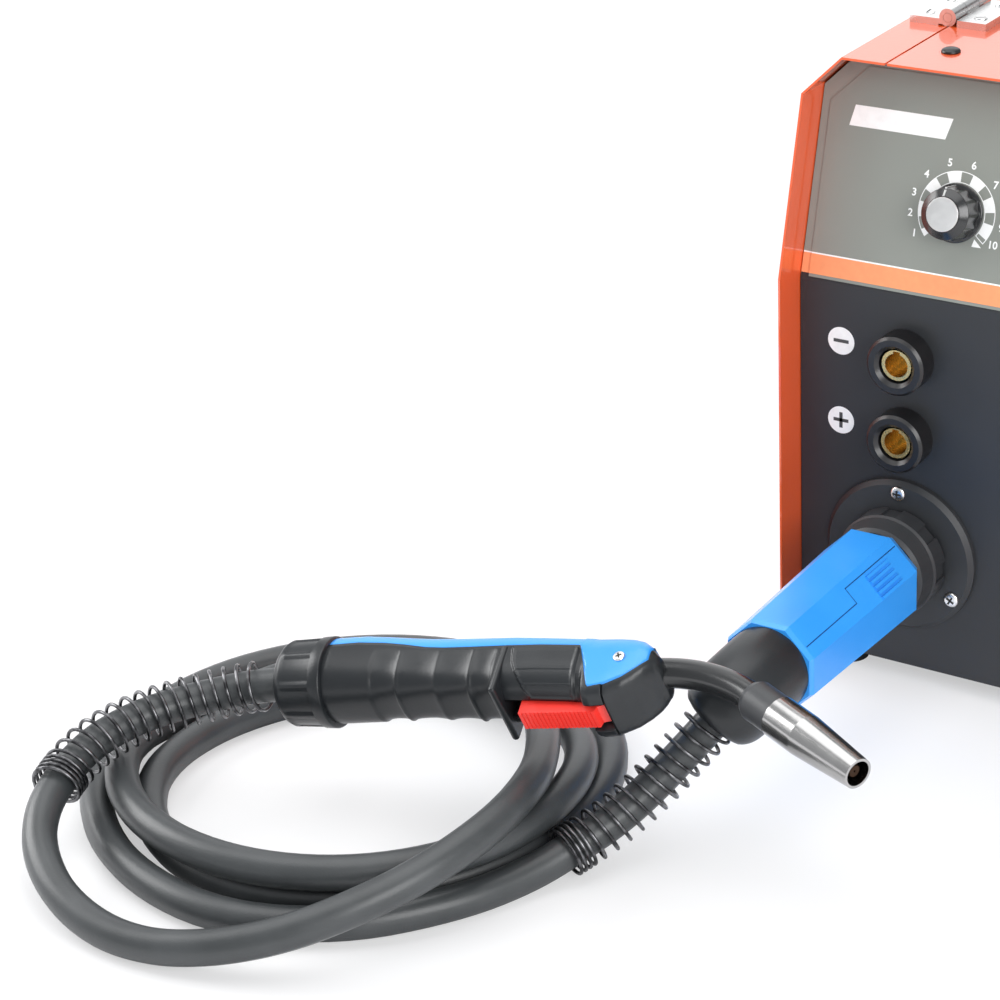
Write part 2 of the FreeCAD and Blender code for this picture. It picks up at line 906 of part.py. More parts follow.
def make_port():
    plate = turned(
        "flange",
        [
            (flange_bore, 0),
            (flange_radius, 0),
            (flange_radius, flange_plate - 2.5),
            (flange_radius - 2.5, flange_plate),
            (flange_bore, flange_plate),
        ],
    )
    place(plate, port_place, panel_level, port_level, TURNS["out"])
    shanks = []
    screws = []
    for across, level in flange_screw_places():
        shanks.append(rod("shank_way", "out", (across, panel_level + 1, level), screw_shank + screw_gap, flange_plate + 2))
        screws.append(screw(across, level, panel_level - flange_plate, "flange_screw"))
    node("connector_flange", cut("flange_cut", plate, *shanks))
    node("flange_screws", group("flange_screw_group", *screws))
    adaptor = turned(
        "adaptor",
        [
            (adaptor_bore, plug_start + 16),
            (adaptor_radius - 3, plug_start + 16),
            (adaptor_radius - 3, nut_start + 3),
            (adaptor_radius, nut_start + 3),
            (adaptor_radius, -panel_plate - 3),
            (9, -panel_plate - 3),
            (9, -40),
            (adaptor_bore, -40),
        ],
    )
    node("central_adaptor", place(adaptor, port_place, panel_level, port_level, TURNS["out"]))
    nut_end = nut_start + nut_length
    nut = turned(
        "plug_nut_body",
        [
            (adaptor_radius + running_gap, nut_start),
            (nut_radius, nut_start),
            (nut_radius, nut_start + 11),
            (nut_radius - 1, nut_start + 12.5),
            (nut_radius - 3, nut_end - 2),
            (nut_radius - 5, nut_end),
            (adaptor_radius + running_gap, nut_end),
        ],
    )
    notch = sketch(nut, "XY_Plane", level=nut_start, name="notch")
    flat = size("nutNotchHalf", 4.5)
    polygon(
        notch,
        [
            (nut_radius - 1.6, -flat),
            (nut_radius + 4, -flat),
            (nut_radius + 4, flat),
            (nut_radius - 1.6, flat),
        ],
    )
    first = pocket(nut, notch, 11, reverse=True)
    around(nut, first, notch, 8)
    node("plug_nut", place(nut, port_place, panel_level, port_level, TURNS["out"]))


make_port()


# Knobs on the control panel, each with a cap, on the shafts of the board
knob_flutes = 12
cap_radius = size("capRadius", 8.5)
cap_plate = size("capPlate", 0.8)


def panel_frame(item, across, out):
    tilt = FreeCAD.Rotation(X_AXIS, 90 - float(lean_angle))
    sine = trig("sin", lean_angle)
    return place(
        item,
        across,
        panel_level + knob_rise * sine - out * lean_cos,
        panel_bend + knob_rise * lean_cos + out * sine,
        tilt,
    )


def make_knob(label, across):
    hub_depth = 4
    knob = turned(
        label + "_body",
        [
            (shaft_radius + 0.15, 0),
            (knob_radius, 0),
            (knob_radius, 2.5),
            (knob_radius - 1.5, 3.2),
            (knob_radius - 2.8, knob_height - 1.5),
            (knob_radius - 4.2, knob_height),
            (cap_radius, knob_height),
            (cap_radius, knob_height - cap_plate),
            (0, knob_height - cap_plate),
            (0, knob_height - hub_depth),
            (shaft_radius + 0.15, knob_height - hub_depth),
        ],
    )
    flute = sketch(knob, "XY_Plane", level=3.2, name="flute")
    circle(flute, knob_radius + 1.2, 0, size(label.replace("_", "") + "Flute", 3.2))
    first = pocket(knob, flute, knob_height, reverse=True)
    around(knob, first, flute, knob_flutes)
    node(label, panel_frame(knob, across, overlay_plate + 1))


def make_cap(label, across):
    cap = turned(
        label + "_body",
        [
            (0, knob_height - cap_plate),
            (cap_radius - 0.1, knob_height - cap_plate),
            (cap_radius - 0.1, knob_height),
            (cap_radius - 1, knob_height + 0.5),
            (0, knob_height + 0.5),
        ],
    )
    node(label, panel_frame(cap, across, overlay_plate + 1))


make_knob("knob_voltage", knob_place)
make_knob("knob_speed", speed_knob_place)
make_cap("cap_voltage", knob_place)
make_cap("cap_speed", speed_knob_place)


# Control board behind the leaning panel, with the shafts that carry the knobs
def make_board():
    owner = body("board_body")
    board_level = -(board_gap + panel_plate)
    face = leaning_sketch(owner, "board", board_level - board_plate)
    polygon(
        face,
        [
            (-board_left, knob_rise - board_half),
            (seat_half - board_gap, knob_rise - board_half),
            (seat_half - board_gap, knob_rise + board_half),
            (-board_left, knob_rise + board_half),
        ],
    )
    pad(owner, face, board_plate)
    pots = leaning_sketch(owner, "pots", board_level)
    shafts = leaning_sketch(owner, "shafts", board_level)
    for across in (knob_place, speed_knob_place):
        circle(pots, across, knob_rise, 8)
        circle(shafts, across, knob_rise, shaft_radius)
    pad(owner, pots, board_gap)
    pad(owner, shafts, board_gap + panel_plate + overlay_plate + knob_height - 6)
    return node("control_board", owner)


make_board()


# Fan on the rear panel: a moulded frame with a pin, and the rotor on it
fan_hub = size("fanHub", 18)
fan_pin = size("fanPin", 2)
fan_blades = 7


def make_fan_frame():
    owner = body("fan_body")
    face = sketch(owner, "XZ_Plane", level=-rear_level, name="frame")
    half = fan_width / 2
    polygon(
        face,
        [
            (fan_place - half, fan_level - half),
            (fan_place + half, fan_level - half),
            (fan_place + half, fan_level + half),
            (fan_place - half, fan_level + half),
        ],
    )
    circle(face, fan_place, fan_level, fan_bore)
    pad(owner, face, fan_depth)
    arm = fan_bore + 1
    arm_half = size("fanArmHalf", 3)
    for name, wide, tall in (("level_arm", arm, arm_half), ("upright_arm", arm_half, arm)):
        cross = sketch(owner, "XZ_Plane", level=-rear_level, name=name)
        polygon(
            cross,
            [
                (fan_place - wide, fan_level - tall),
                (fan_place + wide, fan_level - tall),
                (fan_place + wide, fan_level + tall),
                (fan_place - wide, fan_level + tall),
            ],
        )
        pad(owner, cross, 4)
    hub = sketch(owner, "XZ_Plane", level=-rear_level, name="hub")
    circle(hub, fan_place, fan_level, fan_hub)
    pad(owner, hub, 5)
    pin = sketch(owner, "XZ_Plane", level=-rear_level, name="pin")
    circle(pin, fan_place, fan_level, fan_pin)
    pad(owner, pin, fan_depth - 1)
    return node("fan_frame", owner)


def make_fan_rotor():
    hub_radius = float(fan_hub)
    depth = float(fan_depth) - 8
    hub = Part.makeCylinder(hub_radius, depth)
    blades = []
    reach = float(fan_bore) - 1.5
    for index in range(fan_blades):
        blade = Part.makeBox(reach - hub_radius + 3, 1.6, 22, V(hub_radius - 3, -0.8, -11))
        blade.rotate(V(), X_AXIS, 52)
        blade.translate(V(0, 0, depth / 2))
        blade.rotate(V(), Z_AXIS, 360 * index / fan_blades)
        blades.append(blade)
    bore = Part.makeCylinder(float(fan_pin) + 0.15, depth, V(0, 0, -0.01))
    rotor = hub.fuse(blades).cut(bore.fuse(Part.makeCylinder(float(fan_pin) + 0.15, 2, V(0, 0, depth - 1))))
    spot = V(float(fan_place), float(rear_level) - 6, float(fan_level))
    return node("fan_rotor", feature("fan_rotor", rotor, FreeCAD.Placement(spot, TURNS["out"])))


# Mains switch in the rear panel: housing with a cross pin, and its rocker
rocker_half = size("rockerHalf", 8.7)
rocker_pin = size("rockerPin", 1.5)
rocker_tall = size("rockerTall", 10.8)
rocker_tilt = size("rockerTilt", 10)


def make_mains_switch():
    outside = rear_level + rear_plate
    half = switch_width / 2
    tall = switch_height / 2
    shell = box(
        "switch_shell",
        (switch_place - half, outside - 24, switch_level - tall),
        (switch_width, 24, switch_height),
    )
    rim = box(
        "switch_rim",
        (switch_place - half - 2, outside, switch_level - tall - 2),
        (switch_width + 4, 1.6, switch_height + 4),
    )
    well = box(
        "switch_well",
        (switch_place - rocker_half - 0.3, outside - 9, switch_level - rocker_tall - 1.4),
        (2 * rocker_half + 0.6, 12, 2 * rocker_tall + 2.8),
    )
    pin = rod("switch_pin", "x", (switch_place - half + 1, outside - 3, switch_level), rocker_pin, switch_width - 2)
    terminals = [
        box("terminal", (switch_place - 5, outside - 33, switch_level + shift), (10, 9, 0.8)) for shift in (-9, 0, 9)
    ]
    housing = fuse("switch_fuse", cut("switch_cut", fuse("switch_outer", shell, rim), well), pin, *terminals)
    node("mains_switch", housing)
    pivot = V(float(switch_place) - float(rocker_half), float(outside) - 3, float(switch_level))
    tip = float(rocker_tall)
    outline = [V(0, -3, -tip), V(0, 4, -tip), V(0, 2.6, 0), V(0, 4, tip), V(0, -3, tip)]
    face = Part.Face(Part.makePolygon(outline + outline[:1]))
    rocker = face.extrude(V(2 * float(rocker_half), 0, 0))
    rocker = rocker.cut(Part.makeCylinder(float(rocker_pin) + 0.15, 30, V(-5, 0, 0), X_AXIS))
    at_rest = FreeCAD.Placement(pivot, FreeCAD.Rotation(X_AXIS, -float(rocker_tilt)))
    node("mains_rocker", feature("mains_rocker", rocker, at_rest))


# Mains cable gland, its bore empty, and the gas inlet with its hose barb
gland_bore = size("glandBore", 5)
gas_bore = size("gasBore", 2)
barb_radius = size("barbRadius", 4)


def prism(name, start, circumradius, length):
    item = doc.addObject("Part::Prism", name)
    item.Polygon = 6
    link(item, Circumradius=circumradius, Height=length)
    return place(item, *start, rotation=TURNS["y"])


def make_rear_fittings():
    outside = rear_level + rear_plate
    nut = prism("gland_nut", (gland_place, outside, gland_level), 14, 6)
    dome = cone("gland_dome", "y", (gland_place, outside + 6, gland_level), 11.5, 7.5, 14)
    thread = rod("gland_thread", "y", (gland_place, outside - 12, gland_level), gland_radius, 12)
    lock = prism("gland_lock", (gland_place, rear_level - 5, gland_level), 13, 5)
    bore = rod("gland_bore", "y", (gland_place, outside - 14, gland_level), gland_bore, 40)
    node("mains_gland", cut("gland_cut", fuse("gland_fuse", nut, dome, thread, lock), bore))
    barb = barb_radius
    fitting = turned(
        "gas_body",
        [
            (gas_bore, -14),
            (gas_radius, -14),
            (gas_radius, 1.5),
            (gas_radius + 3, 1.5),
            (gas_radius + 3, 7),
            (barb - 0.8, 9),
            (barb - 0.8, 14),
            (barb, 14),
            (barb - 0.8, 19),
            (barb, 19),
            (barb - 0.8, 24),
            (barb, 24),
            (barb - 1.4, 31),
            (gas_bore, 31),
        ],
    )
    place(fitting, gas_place, rear_level, gas_level, FreeCAD.Rotation(X_AXIS, -90))
    lock = cut(
        "gas_lock",
        prism("gas_nut", (gas_place, rear_level - 5, gas_level), 9.5, 5),
        rod("gas_way", "y", (gas_place, rear_level - 6, gas_level), gas_radius - 0.5, 8),
    )
    node("gas_inlet", fuse("gas_fuse", fitting, lock))


# Power side: heatsink on the divider and the transformer on the pan
def make_heatsink():
    owner = body("sink_body")
    face = divider_place + divider_plate
    length = size("sinkLength", 150)
    start = size("sinkStart", -70)
    low = size("sinkLevel", 160)
    height = size("sinkHeight", 82)
    base = sketch(owner, "YZ_Plane", level=face, name="base")
    polygon(base, [(start, low), (start + length, low), (start + length, low + height), (start, low + height)])
    pad(owner, base, 8)
    fin = sketch(owner, "YZ_Plane", level=face + 8, name="fin")
    thick = size("finPlate", 2)
    polygon(fin, [(start, low), (start + length, low), (start + length, low + thick), (start, low + thick)])
    first = pad(owner, fin, size("finReach", 50))
    along(owner, first, fin, "V_Axis", height - thick, 9)
    return node("heatsink", owner)


def make_transformer():
    floor = foot_height + pan_floor
    left = size("coreLeft", 12)
    width = size("coreWidth", 80)
    start = size("coreStart", -20)
    depth = size("coreDepth", 60)
    height = size("coreHeight", 72)
    core = box("core", (left, start, floor), (width, depth, height))
    owner = body("winding_body")
    section = sketch(owner, "XY_Plane", level=floor + 14, name="section")
    bulge = size("windingBulge", 22)
    side = width / 4
    polygon(
        section,
        [
            (left + side, start - bulge + 8),
            (left + side + 8, start - bulge),
            (left + width - side - 8, start - bulge),
            (left + width - side, start - bulge + 8),
            (left + width - side, start + depth + bulge - 8),
            (left + width - side - 8, start + depth + bulge),
            (left + side + 8, start + depth + bulge),
            (left + side, start + depth + bulge - 8),
        ],
    )
    pad(owner, section, height - 28)
    return node("transformer", fuse("transformer_fuse", core, owner))


# Wire feeder: plate with its lugs and pins, motor, rolls, arm and lever
plate_thick = size("feedPlate", 8)
arm_thick = size("armThick", 9)
arm_pivot_place = size("armPivotPlace", -160)
arm_pivot_level = size("armPivotLevel", 99)
arm_pin = size("armPin", 4)
lever_place = size("leverPlace", -92)
lever_level = size("leverLevel", 56)
lever_rod = size("leverRod", 3)
arm_top = size("armTop", 106)
lug_plate = size("lugPlate", 10)
lug_gap = size("lugGap", 2)
guide_radius = size("guideRadius", 3)


def make_feed_plate():
    owner = body("feed_body")
    outline = sketch(owner, "YZ_Plane", level=divider_place - plate_thick, name="outline")
    polygon(
        outline,
        [
            (-178, 48),
            (-82, 48),
            (-82, 72),
            (-96, 90),
            (-150, 112),
            (-172, 112),
            (-178, 106),
        ],
    )
    circle(outline, roll_place, roll_axis_level, roll_shaft_radius + 2)
    pad(owner, outline, plate_thick)
    face = divider_place - plate_thick
    pins = sketch(owner, "YZ_Plane", level=face - arm_thick - 1, name="pins")
    circle(pins, arm_pivot_place, arm_pivot_level, arm_pin)
    circle(pins, lever_place, lever_level, arm_pin)
    pad(owner, pins, arm_thick + 1)
    lugs = []
    rear_lug = roll_place + roll_radius + lug_gap
    for name, start, low, high in (("front", -178, 68, 94.5), ("rear", rear_lug, 60, 88)):
        lug = box(f"{name}_lug", (port_place - 12, start, low), (face - port_place + 12, lug_plate, high - low))
        lugs.append(lug)
    way = rod("adaptor_way", "y", (port_place, -180, port_level), 9.3, 14)
    guide_way = rod("guide_way", "y", (port_place, rear_lug - 2, port_level), guide_radius, lug_plate + 4)
    return node("feed_plate", cut("feed_cut", fuse("feed_fuse", owner, *lugs), way, guide_way))


def tube(name, start, outer, bore, length):
    return cut(
        name,
        rod(name + "_outer", "y", start, outer, length),
        rod(name + "_bore", "y", (start[0], start[1] - 1, start[2]), bore, length + 2),
    )


def make_feeder():
    node(
        "wire_guides",
        group(
            "guide_group",
            tube("inlet_guide", (port_place, roll_place + roll_radius - 4, port_level), guide_radius, wire_diameter, 46),
            tube("outlet_guide", (port_place, -186, port_level), adaptor_bore - 0.1, wire_diameter, 39),
        ),
    )
    wall = divider_place + divider_plate
    axis = (roll_place, roll_axis_level)
    gearbox = rod("gearbox", "x", (wall, *axis), 26, 20)
    motor = rod("motor_shell", "x", (wall + 20, *axis), 31, 62)
    cap = rod("motor_cap", "x", (wall + 82, *axis), 12, 5)
    socket = rod("gear_bore", "x", (wall - 1, *axis), roll_shaft_radius + 0.3, 14)
    node("feed_motor", cut("motor_cut", fuse("motor_fuse", gearbox, motor, cap), socket))
    half = roll_width / 2
    roll = turned(
        "roll_body",
        [
            (0, port_place - half - 7),
            (roll_shaft_radius + 3, port_place - half - 7),
            (roll_shaft_radius + 3, port_place - half - 2),
            (roll_radius - 4, port_place - half),
            (roll_radius, port_place - half),
            (roll_radius, port_place - 0.8),
            (roll_radius - 0.8, port_place),
            (roll_radius, port_place + 0.8),
            (roll_radius, port_place + half),
            (roll_shaft_radius, port_place + half),
            (roll_shaft_radius, wall + 12),
            (0, wall + 12),
        ],
    )
    node("drive_roll", place(roll, 0, *axis, TURNS["x"]))
    pressure_level = port_level + wire_diameter / 2 + pressure_radius
    face = divider_place - plate_thick - 0.3
    owner = body("arm_body")
    outline = sketch(owner, "YZ_Plane", level=face - arm_thick, name="outline")
    tip = lever_place - lever_rod - 0.4
    polygon(
        outline,
        [
            (arm_pivot_place - 7, arm_pivot_level - 4),
            (arm_pivot_place + 4, arm_pivot_level - 7.5),
            (roll_place - 8, pressure_level - 6),
            (roll_place + 8, pressure_level - 6),
            (tip - 12, arm_top - 10),
            (tip, arm_top - 8),
            (tip, arm_top - 0.6),
            (arm_pivot_place + 4, arm_top),
            (arm_pivot_place - 7, arm_pivot_level + 4),
        ],
    )
    circle(outline, arm_pivot_place, arm_pivot_level, arm_pin + running_gap)
    pad(owner, outline, arm_thick)
    axle = sketch(owner, "YZ_Plane", level=port_place - half - 2, name="axle")
    circle(axle, roll_place, pressure_level, 3)
    pad(owner, axle, face - arm_thick - port_place + half + 2)
    node("pressure_arm", owner)
    wheel = turned(
        "pressure_body",
        [
            (3.15, port_place - half),
            (pressure_radius, port_place - half),
            (pressure_radius, face - arm_thick - 0.3),
            (3.15, face - arm_thick - 0.3),
        ],
    )
    node("pressure_roll", place(wheel, 0, roll_place, pressure_level, TURNS["x"]))
    middle = face - arm_thick / 2
    eye = rod("lever_eye", "x", (face - arm_thick, lever_place, lever_level), arm_pin + 4, arm_thick)
    stem = rod("lever_stem", "z", (middle, lever_place, lever_level + 5), lever_rod, arm_top - lever_level + 6)
    seat = cone("lever_seat", "z", (middle, lever_place, arm_top), lever_rod + 0.3, lever_rod + 6.3, 6)
    knob = rod("lever_knob", "z", (middle, lever_place, arm_top + 6), lever_rod + 6.3, 16)
    eye_bore = rod(
        "eye_bore", "x", (face - arm_thick - 1, lever_place, lever_level), arm_pin + running_gap, arm_thick + 2
    )
    node("tension_lever", cut("lever_cut", fuse("lever_fuse", eye, stem, seat, knob), eye_bore))


# Spool: its hub on the divider, the reel, the wire on it and the end nut
spool_flange = size("spoolFlange", 3)
spool_core = size("spoolCore", 52)
wire_pack_radius = size("wirePackRadius", 84)
hub_clearance = size("hubClearance", 0.3)


def make_spool():
    end = spool_side + spool_width
    hub = turned(
        "hub_body",
        [
            (4, divider_place),
            (34, divider_place),
            (34, divider_place - 5),
            (30, divider_place - 7),
            (30, end + 0.3),
            (spool_bore - hub_clearance, end + 0.3),
            (spool_bore - hub_clearance, spool_side + 1),
            (21, spool_side + 1),
            (21, divider_place - 14),
            (8, divider_place - 14),
            (8, spool_side + 1),
            (4, spool_side + 1),
        ],
    )
    node("spool_hub", place(hub, 0, spool_place, spool_level, TURNS["x"]))
    wall = spool_flange
    core = spool_core
    reel = turned(
        "reel_body",
        [
            (spool_bore, spool_side),
            (spool_bore + 4, spool_side),
            (spool_bore + 4, end - wall),
            (core - 3, end - wall),
            (core - 3, spool_side),
            (spool_radius, spool_side),
            (spool_radius, spool_side + wall),
            (core, spool_side + wall),
            (core, end - wall),
            (spool_radius, end - wall),
            (spool_radius, end),
            (spool_bore, end),
        ],
    )
    node("wire_spool", place(reel, 0, spool_place, spool_level, TURNS["x"]))
    pack = turned(
        "pack_body",
        [
            (core, spool_side + wall),
            (wire_pack_radius, spool_side + wall),
            (wire_pack_radius, end - wall),
            (core, end - wall),
        ],
    )
    node("wire_pack", place(pack, 0, spool_place, spool_level, TURNS["x"]))
    cap = turned(
        "hub_nut_body",
        [
            (0, spool_side + 20),
            (3.7, spool_side + 20),
            (3.7, spool_side - 0.4),
            (30, spool_side - 0.4),
            (30, spool_side - 5),
            (27, spool_side - 8),
            (0, spool_side - 8),
        ],
    )
    node("hub_nut", place(cap, 0, spool_place, spool_level, TURNS["x"]))


make_fan_frame()
make_fan_rotor()
make_mains_switch()
make_rear_fittings()
make_heatsink()
make_transformer()
make_feed_plate()
make_feeder()
make_spool()


# Plug of the torch: octagonal housing in two halves, its sleeve and the cable's exit
plug_step_place = size("plugStepPlace", 95)
plug_swell = size("plugSwell", 38)
plug_taper_start = size("plugTaperStart", 150)
plug_parting_front = size("plugPartingFront", 6.5)
plug_parting_rear = size("plugPartingRear", -3.4)
plug_cavity = size("plugCavity", 20)
plug_wall = size("plugWall", 5)
plug_rib = size("plugRib", 1.6)
plug_rib_pitch = size("plugRibPitch", 3.4)
plug_rib_length = size("plugRibLength", 24)
plug_rib_count = 5
plug_facet_turn = size("plugFacetTurn", 45)
leave_gap = size("leaveGap", 18)
OCTAGON_TURN = 22.5
BEYOND = 120
SPRING_GAP = 1.3
SPRING_CLOSE_TURNS = 4


def octagon(name, level, flats):
    ring = doc.addObject("Part::RegularPolygon", name)
    ring.Polygon = 8
    link(ring, Circumradius=flats / 2 / trig("cos", as_size(OCTAGON_TURN)))
    ring.Placement.Rotation = FreeCAD.Rotation(Z_AXIS, OCTAGON_TURN)
    link(ring, Placement__Base__z=level)
    return ring


# A box drawn square to the 45 degree facet: out from the axis, across the facet, along the plug
def facet_box(name, out, across, level, extent):
    item = doc.addObject("Part::Box", name)
    link(item, Length=extent[0], Width=extent[1], Height=extent[2])
    share = trig("cos", plug_facet_turn)
    turn = FreeCAD.Rotation(Z_AXIS, float(plug_facet_turn))
    return place(item, (out - across) * share, (out + across) * share, level, rotation=turn)


# Half of the plug's space, beyond the parting line on that facet
def beyond_parting(name, start, end, parting):
    wide = 2 * plug_front_width
    return facet_box(name, wide * -0.5, parting, start, (wide, wide, end - start))


def make_plug():
    sections = [
        octagon("plug_lip", plug_start, plug_rear_width),
        octagon("plug_swell_ring", plug_swell, plug_front_width),
        octagon("plug_waist_ring", plug_taper_start, plug_rear_width + 0.5),
        octagon("plug_end_ring", plug_end, plug_rear_width - 2),
    ]
    hull = doc.addObject("Part::Loft", "plug_hull")
    hull.Sections = sections
    hull.Solid = True
    hull.Ruled = True
    bore = rod("plug_bore", "z", (0, 0, plug_start - 1), adaptor_radius - 2.9, plug_wall + 2)
    cavity = rod("plug_cavity", "z", (0, 0, plug_start + plug_wall), plug_cavity, plug_end - plug_start - 2 * plug_wall)
    shell = cut("plug_shell", hull, fuse("plug_hollow", bore, cavity))
    beyond = fuse(
        "plug_beyond",
        beyond_parting("parting_front", plug_start - 1, plug_step_place, plug_parting_front),
        beyond_parting("parting_rear", plug_step_place, plug_end + 1, plug_parting_rear),
    )
    upper = common("plug_upper", shell, beyond)
    ribs = []
    for index in range(plug_rib_count):
        ribs.append(
            facet_box(
                f"plug_rib_{index}",
                plug_front_width / 2 - 2,
                plug_parting_front - 2.5 - plug_rib - plug_rib_pitch * index,
                plug_start + 20,
                (2.6, plug_rib, plug_rib_length),
            )
        )
    lower = fuse("plug_lower", cut("plug_lower_shell", shell, beyond), *ribs)
    node("plug_upper_half", place(upper, port_place, panel_level, port_level, TURNS["out"]))
    node("plug_lower_half", place(lower, port_place, panel_level, port_level, TURNS["out"]))


# The way the cable leaves the plug's sleeve: down, forward and a little to the side
LEAVE_WAY = V(-0.482, -0.523, -0.703).normalize()
LEAVE_CENTRE = V(float(port_place), float(panel_level - sleeve_end), float(port_level))
LEAVE_POINT = LEAVE_CENTRE + LEAVE_WAY * float(leave_gap)


def space_beyond(name, spot, way):
    turn = FreeCAD.Rotation(Z_AXIS, way)
    item = doc.addObject("Part::Box", name)
    item.Length = item.Width = item.Height = BEYOND
    item.Placement = FreeCAD.Placement(spot - turn.multVec(V(BEYOND / 2, BEYOND / 2, 0)), turn)
    return item


def make_sleeve():
    radius = sleeve_radius
    profile = [(0, plug_end), (radius - 1.5, plug_end), (radius, plug_end + 1.5)]
    for index in range(4):
        groove = plug_end + 8 + 6 * index
        profile += [(radius, groove), (radius - 1, groove + 0.7), (radius - 1, groove + 1.7), (radius, groove + 2.4)]
    drop = sleeve_tip - sleeve_end
    profile.append((radius, sleeve_end))
    for share, bulge in ((0.4, 0.955), (0.72, 0.84), (1, 0.6)):
        profile.append((radius * bulge, sleeve_end + drop * share))
    profile.append((0, sleeve_tip))
    hull = turned("sleeve_hull", profile)
    place(hull, port_place, panel_level, port_level, TURNS["out"])
    node("plug_sleeve", cut("sleeve_cut", hull, space_beyond("sleeve_beyond", LEAVE_POINT, LEAVE_WAY)))


# Routes: straight runs joined by arcs, and pairs of arcs between stations
def rounded_route(spots):
    edges = []
    here = spots[0]
    tightest = None
    for before, corner, after in zip(spots, spots[1:], spots[2:]):
        toward = (corner - before).normalize()
        onward = (after - corner).normalize()
        half = toward.getAngle(onward) / 2
        reach = 0.45 * min((corner - before).Length, (after - corner).Length)
        radius = reach / math.tan(half)
        tightest = radius if tightest is None else min(tightest, radius)
        entry = corner - toward * reach
        leave = corner + onward * reach
        inward = (onward - toward).normalize()
        middle = corner + inward * (radius / math.cos(half) - radius)
        edges.append(Part.LineSegment(here, entry).toShape())
        edges.append(Part.Arc(entry, middle, leave).toShape())
        here = leave
    edges.append(Part.LineSegment(here, spots[-1]).toShape())
    return edges, tightest


def arc_or_line(start, way, end):
    chord = end - start
    half = way.getAngle(chord)
    if half < 1e-5:
        return Part.LineSegment(start, end).toShape()
    along_chord = V(chord).normalize()
    outward = (way - along_chord * way.dot(along_chord)).normalize()
    middle = (start + end) * 0.5 + outward * (chord.Length / 2 * math.tan(half / 2))
    return Part.Arc(start, middle, end).toShape()


def biarc(start, start_way, end, end_way):
    span = end - start
    ways = start_way + end_way
    square = 2 * (1 - start_way.dot(end_way))
    slope = 2 * span.dot(ways)
    rest = -span.dot(span)
    if abs(square) > 1e-9:
        reach = (-slope + math.sqrt(slope * slope - 4 * square * rest)) / (2 * square)
    else:
        reach = -rest / slope
    meet = (start + start_way * reach + end - end_way * reach) * 0.5
    meet_way = ((end - end_way * reach) - (start + start_way * reach)).normalize()
    return [arc_or_line(start, start_way, meet), arc_or_line(meet, meet_way, end)]


def swept(edges, radius, sides):
    route = Part.Wire(edges)
    first = edges[0]
    origin = first.valueAt(first.FirstParameter)
    way = first.tangentAt(first.FirstParameter)
    turn = FreeCAD.Rotation(Z_AXIS, way)
    corners = []
    for index in range(sides + 1):
        angle = 2 * math.pi * index / sides
        corners.append(origin + turn.multVec(V(radius * math.cos(angle), radius * math.sin(angle), 0)))
    return route.makePipeShell([Part.makePolygon(corners)], True, False)


def report_sweep(name, solid, edges, radius, sides):
    section = sides / 2 * math.sin(2 * math.pi / sides) * radius * radius
    length = sum(edge.Length for edge in edges)
    share = abs(solid.Volume) / (section * length)
    print(f"{name}: length {length:.0f} mm, volume over section times length {share:.4f}")


# Least distance between stretches of a route that lie apart along it
def least_gap(edges, step, apart, thickness):
    spots = Part.Wire(edges).discretize(Distance=step)
    skip = int(apart / step)
    least = 1e9
    for index, spot in enumerate(spots):
        for other in spots[index + skip:]:
            distance = (spot.x - other.x) ** 2 + (spot.y - other.y) ** 2 + (spot.z - other.z) ** 2
            if distance < least:
                least = distance
    return math.sqrt(least) - thickness


# Cable: from the plug's sleeve to the floor, three laid turns, then over them to the torch
PLUG_STRETCH = [(-72, -428.9, 39.4), (-83.5, -448.3, 25.5), (-96.1, -468.9, 16.1), (-108.5, -496, 9.3)]
TORCH_STRETCH = [
    (-129.5, -447.2, 44.5),
    (-118.5, -478, 48.5),
    (-115, -510.5, 47.6),
    (-121, -545, 43.5),
    (-132, -571, 38),
    (-147, -593, 32),
    (-165, -611, 25),
    (-185.5, -625, 19),
    (-208.5, -635.5, 14),
    (-235, -642.5, 10.2),
    (-266, -643.5, 10.2),
    (-298.5, -636, 16),
    (-327, -618, 24.5),
    (-343, -595.5, 32.5),
    (-349, -572, 38.5),
    (-348, -549, 46.5),
    (-339.5, -524, 51.5),
    (-325.5, -501.5, 54),
    (-306.5, -483, 57.2),
]

# Laid turns: radius and level at every 24 degrees, from 325 degrees clockwise
LAY_START = 325
LAY_STEP = 24
LAY = [
    (136.5, 9.3), (143.5, 9.3), (147, 9.3), (143.5, 9.3), (142.5, 9.3), (144.3, 9.3), (144.5, 9.3), (145.5, 9.3),
    (144.5, 9.3), (143.2, 9.3), (141.5, 9.3), (139, 9.3), (134.5, 9.3), (126.5, 9.3), (118.5, 9.3),
    (116.2, 9.3), (120.8, 9.3), (121, 9.3), (119, 9.3), (116, 9.3), (112.5, 9.3), (104, 9.3), (97.5, 9.3),
    (95.5, 9.3), (98.5, 9.6), (104.5, 12), (111, 15.3), (116.5, 21.5), (121, 28.2), (124, 28.8),
    (126.5, 28.6), (127, 28.3), (127, 28), (127.5, 27.8), (128.3, 27), (128.5, 23.5), (125, 13), (120.5, 10),
    (114.5, 19.5), (105.5, 29), (99, 31), (97, 31.5), (96.5, 33.5),
]


def lay_spot(place_in_lay):
    radius, level = LAY[place_in_lay]
    angle = math.radians(LAY_START - LAY_STEP * place_in_lay)
    across = float(coil_across) + radius * math.cos(angle)
    return V(across, float(coil_along) + radius * math.sin(angle), level)


def lay_way(place_in_lay):
    after = lay_spot(min(place_in_lay + 1, len(LAY) - 1))
    before = lay_spot(max(place_in_lay - 1, 0))
    return (after - before).normalize()


TORCH_WAY = V(
    trig("cos", torch_heading).value * trig("cos", torch_rise).value,
    trig("sin", torch_heading).value * trig("cos", torch_rise).value,
    trig("sin", torch_rise).value,
)
TORCH_FOOT = V(float(torch_across), float(torch_along), float(torch_level))


